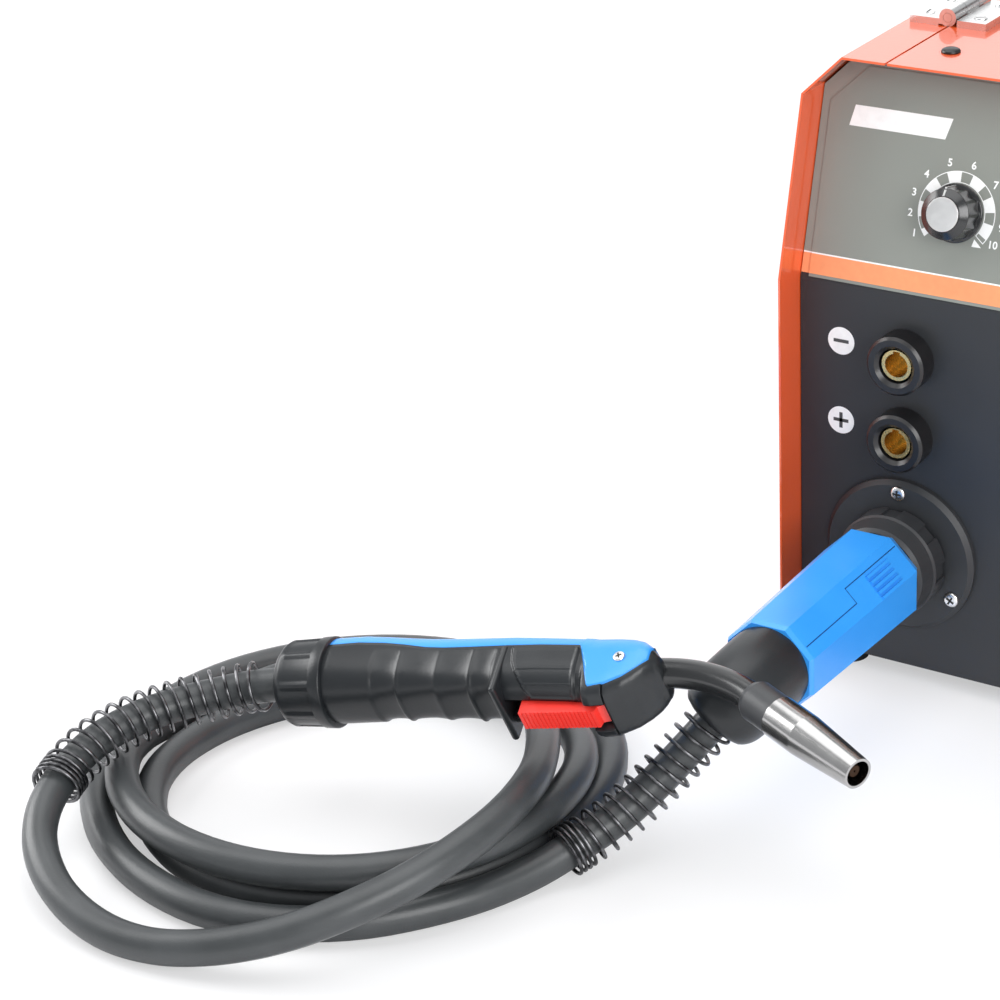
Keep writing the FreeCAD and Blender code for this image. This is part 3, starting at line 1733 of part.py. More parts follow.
def make_cable():
    radius = float(cable_diameter) / 2
    sides = int(float(cable_sides))
    run = float(cable_diameter) * 1.05
    first = lay_spot(0)
    last = lay_spot(len(LAY) - 1)
    plug_spots = [LEAVE_POINT, LEAVE_POINT + LEAVE_WAY * run]
    plug_spots += [V(*spot) for spot in PLUG_STRETCH]
    plug_spots += [first - lay_way(0) * run, first]
    plug_edges, plug_bend = rounded_route(plug_spots)
    torch_spots = [last, last + lay_way(len(LAY) - 1) * run]
    torch_spots += [V(*spot) for spot in TORCH_STRETCH]
    torch_spots += [TORCH_FOOT, TORCH_FOOT + TORCH_WAY * float(collar_length)]
    torch_edges, torch_bend = rounded_route(torch_spots)
    lay_edges = []
    for here in range(len(LAY) - 1):
        lay_edges += biarc(lay_spot(here), lay_way(here), lay_spot(here + 1), lay_way(here + 1))
    print(f"cable: tightest bends {plug_bend:.0f} mm at the plug, {torch_bend:.0f} mm at the torch")
    print(f"cable: least gap between its turns {least_gap(lay_edges, 3, 60, radius * 2):.2f} mm")
    for label, edges in (
        ("cable_plug_end", plug_edges),
        ("cable_coil", lay_edges),
        ("cable_torch_end", torch_edges),
    ):
        solid = swept(edges, radius, sides)
        report_sweep(label, solid, edges, radius, sides)
        node(label, feature(label + "_tube", solid))
    back_edges = rounded_route(list(reversed(torch_spots)))[0]
    wind("plug_spring", plug_edges, SPRING_GAP, 12)
    wind("torch_spring", back_edges, float(collar_length) + SPRING_GAP, 16)


# Guard spring: a wire wound round the cable's route, close wound at its free end
def wind(name, edges, start, open_turns):
    open_pitch = float(spring_pitch)
    close_turns = SPRING_CLOSE_TURNS
    wire = float(spring_wire)
    radius = float(spring_radius)
    close_pitch = wire + 1
    turns = open_turns + close_turns
    spots = []
    ways = []
    side = None
    for index in range(2 * turns + 1):
        turned_by = index / 2
        travel = start + open_pitch * min(turned_by, open_turns) + close_pitch * max(turned_by - open_turns, 0)
        pitch = open_pitch if turned_by < open_turns else close_pitch
        centre, way = spot_on(edges, travel)
        if side is None:
            side = way.cross(Z_AXIS).normalize()
        side = (side - way * side.dot(way)).normalize()
        up = way.cross(side)
        angle = math.pi * index
        outward = side * math.cos(angle) + up * math.sin(angle)
        round_way = up * math.cos(angle) - side * math.sin(angle)
        spots.append(centre + outward * radius)
        ways.append((round_way * (2 * math.pi * radius) + way * pitch).normalize())
    wire_edges = []
    for index in range(len(spots) - 1):
        wire_edges += biarc(spots[index], ways[index], spots[index + 1], ways[index + 1])
    solid = swept(wire_edges, wire / 2, int(float(spring_sides)))
    report_sweep(name, solid, wire_edges, wire / 2, int(float(spring_sides)))
    print(f"{name}: least gap between its turns {least_gap(wire_edges, 1.5, 40, wire):.2f} mm")
    node(name, feature(name + "_wire", solid))


def spot_on(edges, travel):
    left = travel
    for edge in edges:
        if left <= edge.Length:
            parameter = edge.getParameterByLength(left)
            return edge.valueAt(parameter), edge.tangentAt(parameter)
        left -= edge.Length
    raise SystemExit("the spring is longer than the cable's stretch")


# Torch: everything on it is drawn along its own axis, Z, with its front toward X
def torch_frame():
    across = V(TORCH_WAY.y, -TORCH_WAY.x, 0).normalize()
    square = TORCH_WAY.cross(across)
    front = across * trig("cos", torch_roll).value + square * trig("sin", torch_roll).value
    return FreeCAD.Placement(TORCH_FOOT, FreeCAD.Rotation(front, V(), TORCH_WAY, "ZXY"))


TORCH_FRAME = torch_frame()
handle_start = collar_length
handle_end = handle_start + handle_length


collar_bore = size("collarBore", 10.5)
tip_bore = size("tipBore", 0.6)
neck_bend_start = size("neckBendStart", 225)
neck_start = size("neckStart", 200)
trigger_width = size("triggerWidth", 12.3)
trigger_start = size("triggerStart", 156.5)
trigger_length = size("triggerLength", 46.5)
trigger_pin = size("triggerPin", 1.5)
trigger_pin_out = size("triggerPinOut", 16)
trigger_pin_along = size("triggerPinAlong", 160)

# Side view of the whole handle, and of the back shell's share of it: out to the front, along
HANDLE_SIDE = [
    (20.5, 35), (20.5, 66), (18.2, 72), (19.6, 80), (18, 88), (19.6, 98), (18, 109), (19.6, 119), (18, 129),
    (20, 138), (20, 192), (30, 195), (29, 203), (26.2, 208), (15.4, 220.5), (6, 226), (-4.2, 224),
    (-11.5, 217.4), (-13, 205), (-16, 180), (-16, 97), (-16.5, 47), (-18, 35),
]
BACK_REGION = [
    (-30, 30), (-5.3, 30), (-5.3, 186), (17, 192), (21.3, 205), (18, 214.5), (12, 221), (5.2, 226),
    (5.2, 240), (-30, 240),
]


def on_torch(label, item, frame=TORCH_FRAME):
    item.Placement = frame.multiply(item.Placement)
    return node(label, item)


def side_outline(name, corners, width):
    owner = body(name)
    outline = sketch(owner, "XZ_Plane")
    polygon(outline, corners)
    pad(owner, outline, width, midplane=True)
    return owner


# A box along the torch's axis with its four long edges rounded
def rounded_box(name, low, high, half, start, end, corner):
    owner = body(name)
    outline = sketch(owner, "XY_Plane", level=start)
    polygon(outline, [(low, -half), (high, -half), (high, half), (low, half)])
    block = pad(owner, outline, end - start)
    doc.recompute()
    edges = []
    for index, edge in enumerate(block.Shape.Edges, 1):
        if abs(edge.Vertexes[0].Z - edge.Vertexes[-1].Z) > 1:
            edges.append(f"Edge{index}")
    item = owner.newObject("PartDesign::Fillet", name + "_round")
    item.Base = (block, edges)
    link(item, Radius=corner)
    return owner


def make_collar():
    ring = turned(
        "collar_body",
        [
            (collar_bore, 0),
            (collar_radius - 5.5, 0),
            (collar_radius, 7),
            (collar_radius, collar_length - 2),
            (collar_radius - 1.5, collar_length),
            (collar_bore, collar_length),
        ],
    )
    panel = sketch(ring, "XY_Plane", level=9, name="panel")
    polygon(
        panel,
        [
            (collar_radius - 1.2, -5.5),
            (collar_radius + 3, -5.5),
            (collar_radius + 3, 5.5),
            (collar_radius - 1.2, 5.5),
        ],
    )
    first = pocket(ring, panel, collar_length - 14, reverse=True)
    around(ring, first, panel, 8)
    on_torch("torch_collar", ring)


# Handle: a grip and a head, parted into a black front shell and a blue back shell
def make_handle():
    half = handle_width / 2
    grip = rounded_box("grip_box", -18, 20.5, half, handle_start, handle_start + 115, 11)
    head = rounded_box("head_box", -16.5, 30.5, half, handle_start + 115, handle_start + 193, 9)
    side = side_outline("handle_side", HANDLE_SIDE, handle_width + 6)
    neck_bore = rod("neck_bore", "z", (0, 0, neck_start), neck_radius + 0.1, handle_end - neck_start)
    slot_half = trigger_width / 2 + 0.45
    slot = box(
        "trigger_slot",
        (7, -slot_half, trigger_start - 1.5),
        (40, slot_half * 2, trigger_length + 3),
    )
    hull = cut("handle_hull", common("handle_form", side, fuse("handle_boxes", grip, head)), neck_bore, slot)
    region = side_outline("back_region", BACK_REGION, handle_width + 8)
    front = cut("front_hull", hull, region)
    stop = rounded_box("stop_rib", -5.3, 24, half + 3, 143, 147, 9)
    block = box("grip_block", (-2, -half - 1.2, 146), (22, 1.7, 40))
    pin = rod("trigger_pin", "y", (trigger_pin_out, -slot_half - 1, trigger_pin_along), trigger_pin, slot_half * 2 + 2)
    on_torch("handle_front_shell", fuse("front_shell", front, stop, block, pin))
    on_torch("handle_back_shell", common("back_shell", hull, region))


make_plug()
make_sleeve()
make_cable()
make_collar()
make_handle()


def make_trigger():
    half = trigger_width / 2
    end = trigger_start + trigger_length
    lever = side_outline(
        "trigger_body",
        [
            (12, trigger_start),
            (29.7, trigger_start),
            (29.7, end - 5),
            (26.5, end - 4),
            (25.5, end),
            (12, end),
        ],
        trigger_width,
    )
    outline = sketch(lever, "XZ_Plane", name="pin_way")
    circle(outline, trigger_pin_out, trigger_pin_along, trigger_pin + 0.15)
    pocket(lever, outline, trigger_width + 2, midplane=True)
    groove = sketch(lever, "XZ_Plane", name="groove")
    polygon(
        groove,
        [
            (29, trigger_start + 2),
            (30.5, trigger_start + 1.3),
            (30.5, trigger_start + 2.7),
        ],
    )
    first = pocket(lever, groove, trigger_width + 2, midplane=True)
    along(lever, first, groove, "V_Axis", trigger_length - 9, 18)
    on_torch("torch_trigger", lever)


# Swan neck: straight out of the handle, then bent toward the trigger's side
def make_neck():
    straight = rod("neck_straight", "z", (0, 0, neck_start), neck_radius, neck_bend_start - neck_start)
    bend = doc.addObject("Part::Torus", "neck_bend")
    link(bend, Radius1=neck_bend_radius, Radius2=neck_radius, Angle3=neck_bend_angle)
    place(bend, neck_bend_radius, 0, neck_bend_start, rotation=FreeCAD.Rotation(-X_AXIS, Z_AXIS, Y_AXIS, "XZY"))
    on_torch("swan_neck", fuse("neck_fuse", straight, bend))


def neck_end_frame():
    angle = math.radians(float(neck_bend_angle))
    radius = float(neck_bend_radius)
    end = V(radius * (1 - math.cos(angle)), 0, float(neck_bend_start) + radius * math.sin(angle))
    return TORCH_FRAME.multiply(FreeCAD.Placement(end, FreeCAD.Rotation(Y_AXIS, float(neck_bend_angle))))


def make_nozzle():
    frame = neck_end_frame()
    seat = nozzle_radius - nozzle_wall
    insulator = turned(
        "insulator_body",
        [
            (0, 0),
            (seat - 0.4, 0),
            (nozzle_radius - 0.4, 3),
            (nozzle_radius - 0.4, insulator_length - 2),
            (seat - 0.2, insulator_length - 2),
            (seat - 0.2, insulator_length + 12),
            (0, insulator_length + 12),
        ],
    )
    on_torch("neck_insulator", insulator, frame)
    start = insulator_length - 1.7
    end = insulator_length + nozzle_length
    shroud = turned(
        "nozzle_body",
        [
            (seat, start),
            (nozzle_radius, start),
            (nozzle_radius, start + 20),
            (mouth_radius, end),
            (mouth_radius - nozzle_wall, end),
            (seat, start + 20),
        ],
    )
    on_torch("gas_nozzle", shroud, frame)
    holder = insulator_length + 12
    tip = turned(
        "tip_body",
        [
            (tip_bore, holder),
            (tip_radius + 2, holder),
            (tip_radius + 2, holder + 14),
            (tip_radius, holder + 16),
            (tip_radius, end - 5.5),
            (tip_radius - 1, end - 2.5),
            (tip_bore, end - 2.5),
        ],
    )
    on_torch("contact_tip", tip, frame)


make_trigger()
make_neck()
make_nozzle()


# Check every object, then write each sub-part to its own file
doc.recompute()
for item in doc.Objects:
    if "Invalid" in item.State or "Error" in item.State:
        raise SystemExit(f"{item.Name} ({item.Label}) failed: {item.State}")
for item in nodes:
    if item.Shape.isNull() or not item.Shape.isValid():
        raise SystemExit(f"{item.Label} has no valid shape")
for item in nodes:
    item.Shape.exportStep(f"parts/{item.Label}.step")
print(len(nodes), "sub-parts written")
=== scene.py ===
import math
from collections import namedtuple

import bmesh
import bpy
from mathutils import Matrix, Vector


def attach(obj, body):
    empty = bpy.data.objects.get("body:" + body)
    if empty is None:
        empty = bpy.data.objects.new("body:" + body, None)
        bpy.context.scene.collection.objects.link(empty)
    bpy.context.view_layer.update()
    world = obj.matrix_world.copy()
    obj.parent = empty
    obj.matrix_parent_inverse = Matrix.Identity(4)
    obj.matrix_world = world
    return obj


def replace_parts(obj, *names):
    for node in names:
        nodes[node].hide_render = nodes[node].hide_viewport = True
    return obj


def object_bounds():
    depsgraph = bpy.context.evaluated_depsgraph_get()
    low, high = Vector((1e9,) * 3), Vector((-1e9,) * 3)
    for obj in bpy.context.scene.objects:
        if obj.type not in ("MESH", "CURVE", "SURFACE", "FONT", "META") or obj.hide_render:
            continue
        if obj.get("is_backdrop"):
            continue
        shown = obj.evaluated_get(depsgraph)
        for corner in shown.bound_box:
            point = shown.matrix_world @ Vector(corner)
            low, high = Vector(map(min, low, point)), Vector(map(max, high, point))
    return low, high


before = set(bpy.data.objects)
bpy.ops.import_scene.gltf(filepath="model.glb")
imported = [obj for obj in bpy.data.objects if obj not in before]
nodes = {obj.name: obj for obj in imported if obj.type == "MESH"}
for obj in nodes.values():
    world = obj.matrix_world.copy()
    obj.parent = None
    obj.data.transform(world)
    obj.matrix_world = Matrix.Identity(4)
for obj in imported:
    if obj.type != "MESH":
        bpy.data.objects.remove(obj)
cad_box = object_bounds()
scene = bpy.context.scene


# Studio: the welder stands on a white table in front of a white backdrop, among four
# large soft lamps. The camera looks down at its front from the right.
EYE = Vector((0.63566, -1.58056, 0.83935))
EYE_RIGHT = Vector((0.83404, 0.54979, -0.04592))
EYE_UP = Vector((-0.19988, 0.37871, 0.90367))
EYE_AHEAD = Vector((-0.51422, 0.74452, -0.42575))
LENS = 109.73
SENSOR = 36
CAMERA_REACH = 50
FLOOR_HALF = 4.0
FLOOR_COLOUR = (0.86, 0.86, 0.87, 1)
FLOOR_GLOW = 0.5

camera = bpy.data.objects.new("camera", bpy.data.cameras.new("camera"))
scene.collection.objects.link(camera)
eye_axes = Matrix((EYE_RIGHT, EYE_UP, -EYE_AHEAD)).transposed().to_4x4()
camera.matrix_world = Matrix.Translation(EYE) @ eye_axes
camera.data.lens = LENS
camera.data.sensor_width = SENSOR
camera.data.clip_end = CAMERA_REACH
scene.camera = camera
scene.view_settings.view_transform = "Standard"


def lamp(name, place, aim, width, power):
    light = bpy.data.lights.new(name, "AREA")
    light.size = width
    light.energy = power
    item = bpy.data.objects.new(name, light)
    scene.collection.objects.link(item)
    item.location = place
    item.rotation_euler = (Vector(aim) - Vector(place)).to_track_quat("-Z", "Y").to_euler()


lamp("ceiling_lamp", (-0.3, -0.3, 2.3), (-0.1, -0.3, 0), 2.2, 32)
lamp("left_lamp", (-2.3, -0.7, 1.2), (-0.1, -0.25, 0.2), 1.5, 44)
lamp("right_lamp", (1.9, -1.5, 1.2), (0, -0.2, 0.2), 1.4, 42)
lamp("back_lamp", (-1.1, 1.5, 1.25), (-0.05, -0.15, 0.3), 1.9, 9)


# A material and the small language that its patterns are written in:
# a Value is one socket, and Python's operators on it add the maths nodes.
class Value:
    def __init__(self, finish, socket):
        self.finish = finish
        self.socket = socket

    def maths(self, operation, *others):
        return self.finish.node("Math", {"operation": operation}, [self, *others])

    def __add__(self, other):
        return self.maths("ADD", other)

    __radd__ = __add__

    def __mul__(self, other):
        return self.maths("MULTIPLY", other)

    __rmul__ = __mul__

    def __sub__(self, other):
        return self.maths("SUBTRACT", other)

    def __rsub__(self, other):
        return self.finish.node("Math", {"operation": "SUBTRACT"}, [other, self])

    def __gt__(self, other):
        return self.maths("GREATER_THAN", other)


class Finish:
    def __init__(self, name, colour, roughness, **amounts):
        self.material = bpy.data.materials.new(name)
        self.material.use_nodes = True
        self.tree = self.material.node_tree
        self.shader = self.tree.nodes["Principled BSDF"]
        self.set("Base Color", (*colour, 1))
        self.set("Roughness", roughness)
        for label, amount in amounts.items():
            self.set(label.replace("_", " "), amount)
        self.material.diffuse_color = (*colour, 1)

    def set(self, label, amount):
        socket = self.shader.inputs[label]
        if isinstance(amount, Value):
            self.tree.links.new(amount.socket, socket)
        else:
            socket.default_value = amount

    def node(self, kind, settings=None, sockets=None, output=0):
        item = self.tree.nodes.new("ShaderNode" + kind)
        for key, amount in (settings or {}).items():
            if key == "stops":
                self.stops(item.color_ramp, amount)
            else:
                setattr(item, key, amount)
        pairs = sockets.items() if isinstance(sockets, dict) else enumerate(sockets or [])
        for key, amount in pairs:
            if isinstance(amount, Value):
                self.tree.links.new(amount.socket, item.inputs[key])
            elif amount is not None:
                item.inputs[key].default_value = amount
        return Value(self, item.outputs[output])

    def stops(self, ramp, stops):
        while len(ramp.elements) < len(stops):
            ramp.elements.new(0.5)
        for element, (place, shade) in zip(ramp.elements, stops):
            element.position = place
            element.color = shade if isinstance(shade, tuple) else (shade, shade, shade, 1)

    def place(self):
        return self.node("TexCoord", output="Object")

    def noise(self, scale, detail=3, stretch=(1, 1, 1)):
        spot = self.node("Mapping", None, {"Vector": self.place(), "Scale": stretch})
        return self.node("TexNoise", None, {"Vector": spot, "Scale": scale, "Detail": detail}, "Fac")

    def ramp(self, value, *stops):
        return self.node("ValToRGB", {"stops": stops}, {"Fac": value}, "Color")

    def mix(self, factor, first, second):
        first = (*first, 1) if isinstance(first, tuple) and len(first) == 3 else first
        second = (*second, 1) if isinstance(second, tuple) and len(second) == 3 else second
        return self.node("Mix", {"data_type": "RGBA"}, {0: factor, 6: first, 7: second}, 2)

    def bump(self, height, depth):
        self.set("Normal", self.node("Bump", None, {"Height": height, "Distance": depth}, "Normal"))

    def paint(self, *labels):
        for label in labels:
            item = nodes[label]
            item.data.materials.clear()
            item.data.materials.append(self.material)


# Floor and backdrop: white card. The camera sees the backdrop pure white and the floor
# half lit from within, so that it frames the welder and still takes its shadow.
def white_card():
    card = Finish("white_card", FLOOR_COLOUR[:3], 0.9)
    seen = card.node("LightPath", output="Is Camera Ray")
    white = card.tree.nodes.new("ShaderNodeEmission")
    blend = card.tree.nodes.new("ShaderNodeMixShader")
    card.tree.links.new((seen * FLOOR_GLOW).socket, blend.inputs[0])
    card.tree.links.new(card.shader.outputs[0], blend.inputs[1])
    card.tree.links.new(white.outputs[0], blend.inputs[2])
    card.tree.links.new(blend.outputs[0], card.tree.nodes["Material Output"].inputs["Surface"])
    return card.material


table = bmesh.new()
bmesh.ops.create_grid(table, x_segments=1, y_segments=1, size=FLOOR_HALF)
floor_mesh = bpy.data.meshes.new("floor")
table.to_mesh(floor_mesh)
table.free()
floor = bpy.data.objects.new("floor", floor_mesh)
scene.collection.objects.link(floor)
floor.data.materials.append(white_card())
floor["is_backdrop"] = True

world = bpy.data.worlds.new("studio")
scene.world = world
world.use_nodes = True
sky = world.node_tree
sky_light = sky.nodes["Background"]
sky_light.inputs["Color"].default_value = (0.95, 0.97, 1, 1)
sky_light.inputs["Strength"].default_value = 0.55
sky_white = sky.nodes.new("ShaderNodeBackground")
sky_white.inputs["Color"].default_value = (1, 1, 1, 1)
sky_path = sky.nodes.new("ShaderNodeLightPath")
sky_seen = sky.nodes.new("ShaderNodeMath")
sky_seen.operation = "MAXIMUM"
sky_mix = sky.nodes.new("ShaderNodeMixShader")
sky.links.new(sky_path.outputs["Is Camera Ray"], sky_seen.inputs[0])
sky.links.new(sky_path.outputs["Is Transmission Ray"], sky_seen.inputs[1])
sky.links.new(sky_seen.outputs[0], sky_mix.inputs[0])
sky.links.new(sky_light.outputs[0], sky_mix.inputs[1])
sky.links.new(sky_white.outputs[0], sky_mix.inputs[2])
sky.links.new(sky_mix.outputs[0], sky.nodes["World Output"].inputs["Surface"])


# Torch cable: a rubber-covered welding cable, 18.5 mm thick and 3 m long. It leaves
# the plug's boot downward, lies in three loose turns, climbs over them and ends in
# the torch's collar. Both stretches are points in millimetres.
CABLE = 0.0185
LEAVE_WAY = Vector((-0.482, -0.523, -0.703)).normalized()
PORT = Vector((-0.0435, -0.2075, 0.0815))
SLEEVE_END = 0.186
LEAVE_GAP = 0.018
LEAVE_POINT = PORT - Vector((0, SLEEVE_END, 0)) + LEAVE_WAY * LEAVE_GAP
TORCH_HEADING = math.radians(12.2)
TORCH_RISE = math.radians(10.4)
TORCH_WAY = Vector((
    math.cos(TORCH_HEADING) * math.cos(TORCH_RISE),
    math.sin(TORCH_HEADING) * math.cos(TORCH_RISE),
    math.sin(TORCH_RISE),
))
TORCH_FOOT = Vector((-0.286, -0.472, 0.062))
COLLAR = 0.035
PLUG_STRETCH = [(-72, -428.9, 39.4), (-83.5, -448.3, 25.5), (-96.1, -468.9, 16.1), (-108.5, -496, 9.3)]
TORCH_STRETCH = [
    (-129.5, -447.2, 44.5), (-118.5, -478, 48.5), (-115, -510.5, 47.6), (-121, -545, 43.5),
    (-132, -571, 38), (-147, -593, 32), (-165, -611, 25), (-185.5, -625, 19),
    (-208.5, -635.5, 14), (-235, -642.5, 10.2), (-266, -643.5, 10.2), (-298.5, -636, 16),
    (-327, -618, 24.5), (-343, -595.5, 32.5), (-349, -572, 38.5), (-348, -549, 46.5),
    (-339.5, -524, 51.5), (-325.5, -501.5, 54), (-306.5, -483, 57.2),
]

# Laid turns: radius and level in millimetres at each step, clockwise, the first on the floor
LAY_CENTRE = Vector((-0.240, -0.455, 0))
LAY_START = 325
LAY_STEP = 24
FLOOR_LEVEL = 9.3
ON_FLOOR = (
    136.5, 143.5, 147, 143.5, 142.5, 144.3, 144.5, 145.5, 144.5, 143.2, 141.5, 139,
    134.5, 126.5, 118.5, 116.2, 120.8, 121, 119, 116, 112.5, 104, 97.5, 95.5,
)
LAY = [(radius, FLOOR_LEVEL) for radius in ON_FLOOR] + [
    (98.5, 9.6), (104.5, 12), (111, 15.3), (116.5, 21.5), (121, 28.2), (124, 28.8),
    (126.5, 28.6), (127, 28.3), (127, 28), (127.5, 27.8), (128.3, 27), (128.5, 23.5),
    (125, 13), (120.5, 10), (114.5, 19.5), (105.5, 29), (99, 31), (97, 31.5), (96.5, 33.5),
]


def millimetres(x, y, z):
    return Vector((x, y, z)) / 1000


def lay_point(step):
    radius, level = LAY[step]
    angle = math.radians(LAY_START - LAY_STEP * step)
    reach = radius / 1000 / math.cos(math.radians(LAY_STEP / 2))
    return LAY_CENTRE + Vector((reach * math.cos(angle), reach * math.sin(angle), level / 1000))


def cable_route():
    route = [LEAVE_POINT, LEAVE_POINT + LEAVE_WAY * CABLE * 1.05]
    route += [millimetres(*point) for point in PLUG_STRETCH]
    route += [lay_point(step) for step in range(len(LAY))]
    route += [millimetres(*point) for point in TORCH_STRETCH]
    return route + [TORCH_FOOT, TORCH_FOOT + TORCH_WAY * COLLAR]


def line(name, points, thickness):
    curve = bpy.data.curves.new(name, "CURVE")
    curve.dimensions = "3D"
    curve.resolution_u = 6
    curve.bevel_depth = thickness / 2
    curve.bevel_resolution = 5
    curve.use_fill_caps = True
    spline = curve.splines.new("NURBS")
    spline.points.add(len(points) - 1)
    for point, spot in zip(spline.points, points):
        point.co = (*spot, 1)
    spline.order_u = 3
    spline.use_endpoint_u = True
    item = bpy.data.objects.new(name, curve)
    scene.collection.objects.link(item)
    return item


def centreline(route):
    bare = line("route", route, 0)
    mesh = bpy.data.meshes.new_from_object(bare)
    points = [vertex.co.copy() for vertex in mesh.vertices]
    bpy.data.objects.remove(bare)
    return points


def cable_rubber():
    rubber = Finish("cable_rubber", (0.04, 0.044, 0.046), 0.42, Coat_Weight=0.3, Coat_Roughness=0.3)
    smear = rubber.noise(34, 4)
    fine = rubber.noise(900, 2)
    rubber.set("Roughness", 0.36 + smear * 0.2)
    shades = (0.35, (0.034, 0.038, 0.040, 1)), (0.75, (0.052, 0.057, 0.060, 1))
    rubber.set("Base Color", rubber.ramp(smear, *shades))
    rubber.bump(fine + smear * 2, 0.00012)
    return rubber


cable = line("torch_cable", cable_route(), CABLE)
cable.data.materials.append(cable_rubber().material)
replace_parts(cable, "cable_plug_end", "cable_coil", "cable_torch_end")
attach(cable, "housing")


# Guard springs: black spring wire, 2 mm thick, wound round the cable where it leaves
# the plug and the torch, with open turns and a few close ones at the free end.
SPRING = 0.013
SPRING_WIRE = 0.002
OPEN_PITCH = 0.0076
CLOSE_PITCH = 0.003
CLOSE_TURNS = 4
TURN_POINTS = 14
LOOK_ALONG = 0.002
PLUG_SPRING_START = 0.0005
TORCH_SPRING_START = COLLAR + 0.0013


def wound(points, start, open_turns):
    travelled = [0.0]
    for before, after in zip(points, points[1:]):
        travelled.append(travelled[-1] + (after - before).length)

    def at(distance):
        step = 0
        while step < len(points) - 2 and travelled[step + 1] < distance:
            step += 1
        share = (distance - travelled[step]) / (travelled[step + 1] - travelled[step])
        return points[step].lerp(points[step + 1], share)

    turn = []
    side = None
    for index in range((open_turns + CLOSE_TURNS) * TURN_POINTS + 1):
        turns = index / TURN_POINTS
        distance = start + OPEN_PITCH * min(turns, open_turns)
        distance += CLOSE_PITCH * max(turns - open_turns, 0)
        ahead = at(distance + LOOK_ALONG) - at(max(distance - LOOK_ALONG, 0))
        ahead.normalize()
        if side is None:
            side = ahead.cross(Vector((0, 0, 1))).normalized()
        side = (side - ahead * side.dot(ahead)).normalized()
        up = ahead.cross(side)
        angle = 2 * math.pi * turns
        reach = SPRING / math.cos(math.pi / TURN_POINTS)
        turn.append(at(distance) + (side * math.cos(angle) + up * math.sin(angle)) * reach)
    return turn


def spring_black():
    wire = Finish("spring_black", (0.06, 0.06, 0.063), 0.28, Metallic=1.0)
    # The lighter grey patches on the black wire are painted highlight, standing in for the glints the wire
    # catches
    patch_tone = wire.noise(180, 3)
    shades = (0.40, (0.05, 0.05, 0.053, 1)), (0.75, (0.28, 0.28, 0.29, 1))
    wire.set("Base Color", wire.ramp(patch_tone, *shades))
    wire.set("Roughness", 0.22 + patch_tone * 0.2)
    return wire


cable_points = centreline(cable_route())
spring_wire = spring_black()
for label, points, start, open_turns in (
    ("plug_spring", cable_points, PLUG_SPRING_START, 12),
    ("torch_spring", cable_points[::-1], TORCH_SPRING_START, 16),
):
    spring = line(label + "_wire", wound(points, start, open_turns), SPRING_WIRE)
    spring.data.resolution_u = 2
    spring.data.bevel_resolution = 2
    spring.data.materials.append(spring_wire.material)
    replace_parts(spring, label)
    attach(spring, "housing")


# Base pan and feet: a tray of folded steel, coated satin black like the panels, on
# four moulded rubber feet.
PANEL_BLACK = (0.022, 0.024, 0.027)


def black_coat():
    coat = Finish("black_coat", PANEL_BLACK, 0.46, Coat_Weight=0.12, Coat_Roughness=0.3)
    drift = coat.noise(5, 2)
    grain = coat.noise(1400, 2)
    shades = (0.3, (0.018, 0.020, 0.023, 1)), (0.75, (0.028, 0.030, 0.034, 1))
    coat.set("Base Color", coat.ramp(drift, *shades))
    coat.set("Roughness", 0.40 + drift * 0.12)
    coat.bump(grain, 0.00006)
    return coat


black_coat().paint("base_pan", "rear_panel")


def foot_rubber():
    rubber = Finish("foot_rubber", (0.012, 0.012, 0.012), 0.7)
    grain = rubber.noise(600, 3)
    rubber.set("Roughness", 0.6 + grain * 0.2)
    rubber.bump(grain, 0.0001)
    return rubber


foot_rubber().paint("feet")


# Cover and door: thin steel sheet, folded at the top corners and powder coated in
# glossy orange. The coat has a faint orange-peel surface.
def orange_coat():
    coat = Finish(
        "orange_coat", (0.80, 0.105, 0.022), 0.3, Coat_Weight=1.0, Coat_Roughness=0.04, Coat_IOR=1.75,
    )
    drift = coat.noise(7, 3)
    peel = coat.noise(420, 2)
    shades = (0.3, (0.77, 0.098, 0.020, 1)), (0.8, (0.84, 0.115, 0.026, 1))
    coat.set("Base Color", coat.ramp(drift, *shades))
    coat.set("Roughness", 0.26 + drift * 0.12)
    coat.bump(peel, 0.00004)
    return coat


cover_orange = orange_coat()
cover_orange.paint("main_cover", "side_door")


# Printed film on the leaning face: satin grey, with all its printing in flat ink. It is
# glued over the holes of the two dial shafts.
LEAN = math.radians(15.6)
PANEL_BEND = Vector((0, -0.2075, 0.23425))
FILM = 0.0006
FILM_HALF = 101.3
INK = 0.0001
UP_LEAN = Vector((0, math.sin(LEAN), math.cos(LEAN)))
OUT_OF_LEAN = Vector((0, -math.cos(LEAN), math.sin(LEAN)))
LEAN_AXES = Matrix((Vector((1, 0, 0)), UP_LEAN, OUT_OF_LEAN)).transposed().to_4x4()
LEAN_FRAME = Matrix.Translation(PANEL_BEND) @ LEAN_AXES
FILM_FRAME = LEAN_FRAME @ Matrix.Translation((0, 0, FILM))
FRONT_AXES = Matrix(((1, 0, 0), (0, 0, -1), (0, 1, 0))).to_4x4()
FRONT_FRAME = Matrix.Translation((0, PANEL_BEND.y, 0)) @ FRONT_AXES
DIAL = 0.0484
DIAL_PLACES = (-0.020, 0.052)
GREY = (0.25, 0.265, 0.24)
STRIPE = (0.90, 0.33, 0.15)
STRIPE_LOW = 0.0032
STRIPE_HIGH = 0.0142
LINE_HIGH = 0.0150


def film_grey():
    film = Finish("film_grey", GREY, 0.42)
    drift = film.noise(9, 3)
    film.set("Base Color", film.ramp(drift, (0.3, (0.235, 0.25, 0.225, 1)), (0.8, (*GREY, 1))))
    grain = film.noise(1100, 2)
    film.set("Roughness", 0.40 + grain * 0.08)
    film.bump(grain, 0.00003)
    return film


film_grey().paint("control_overlay")


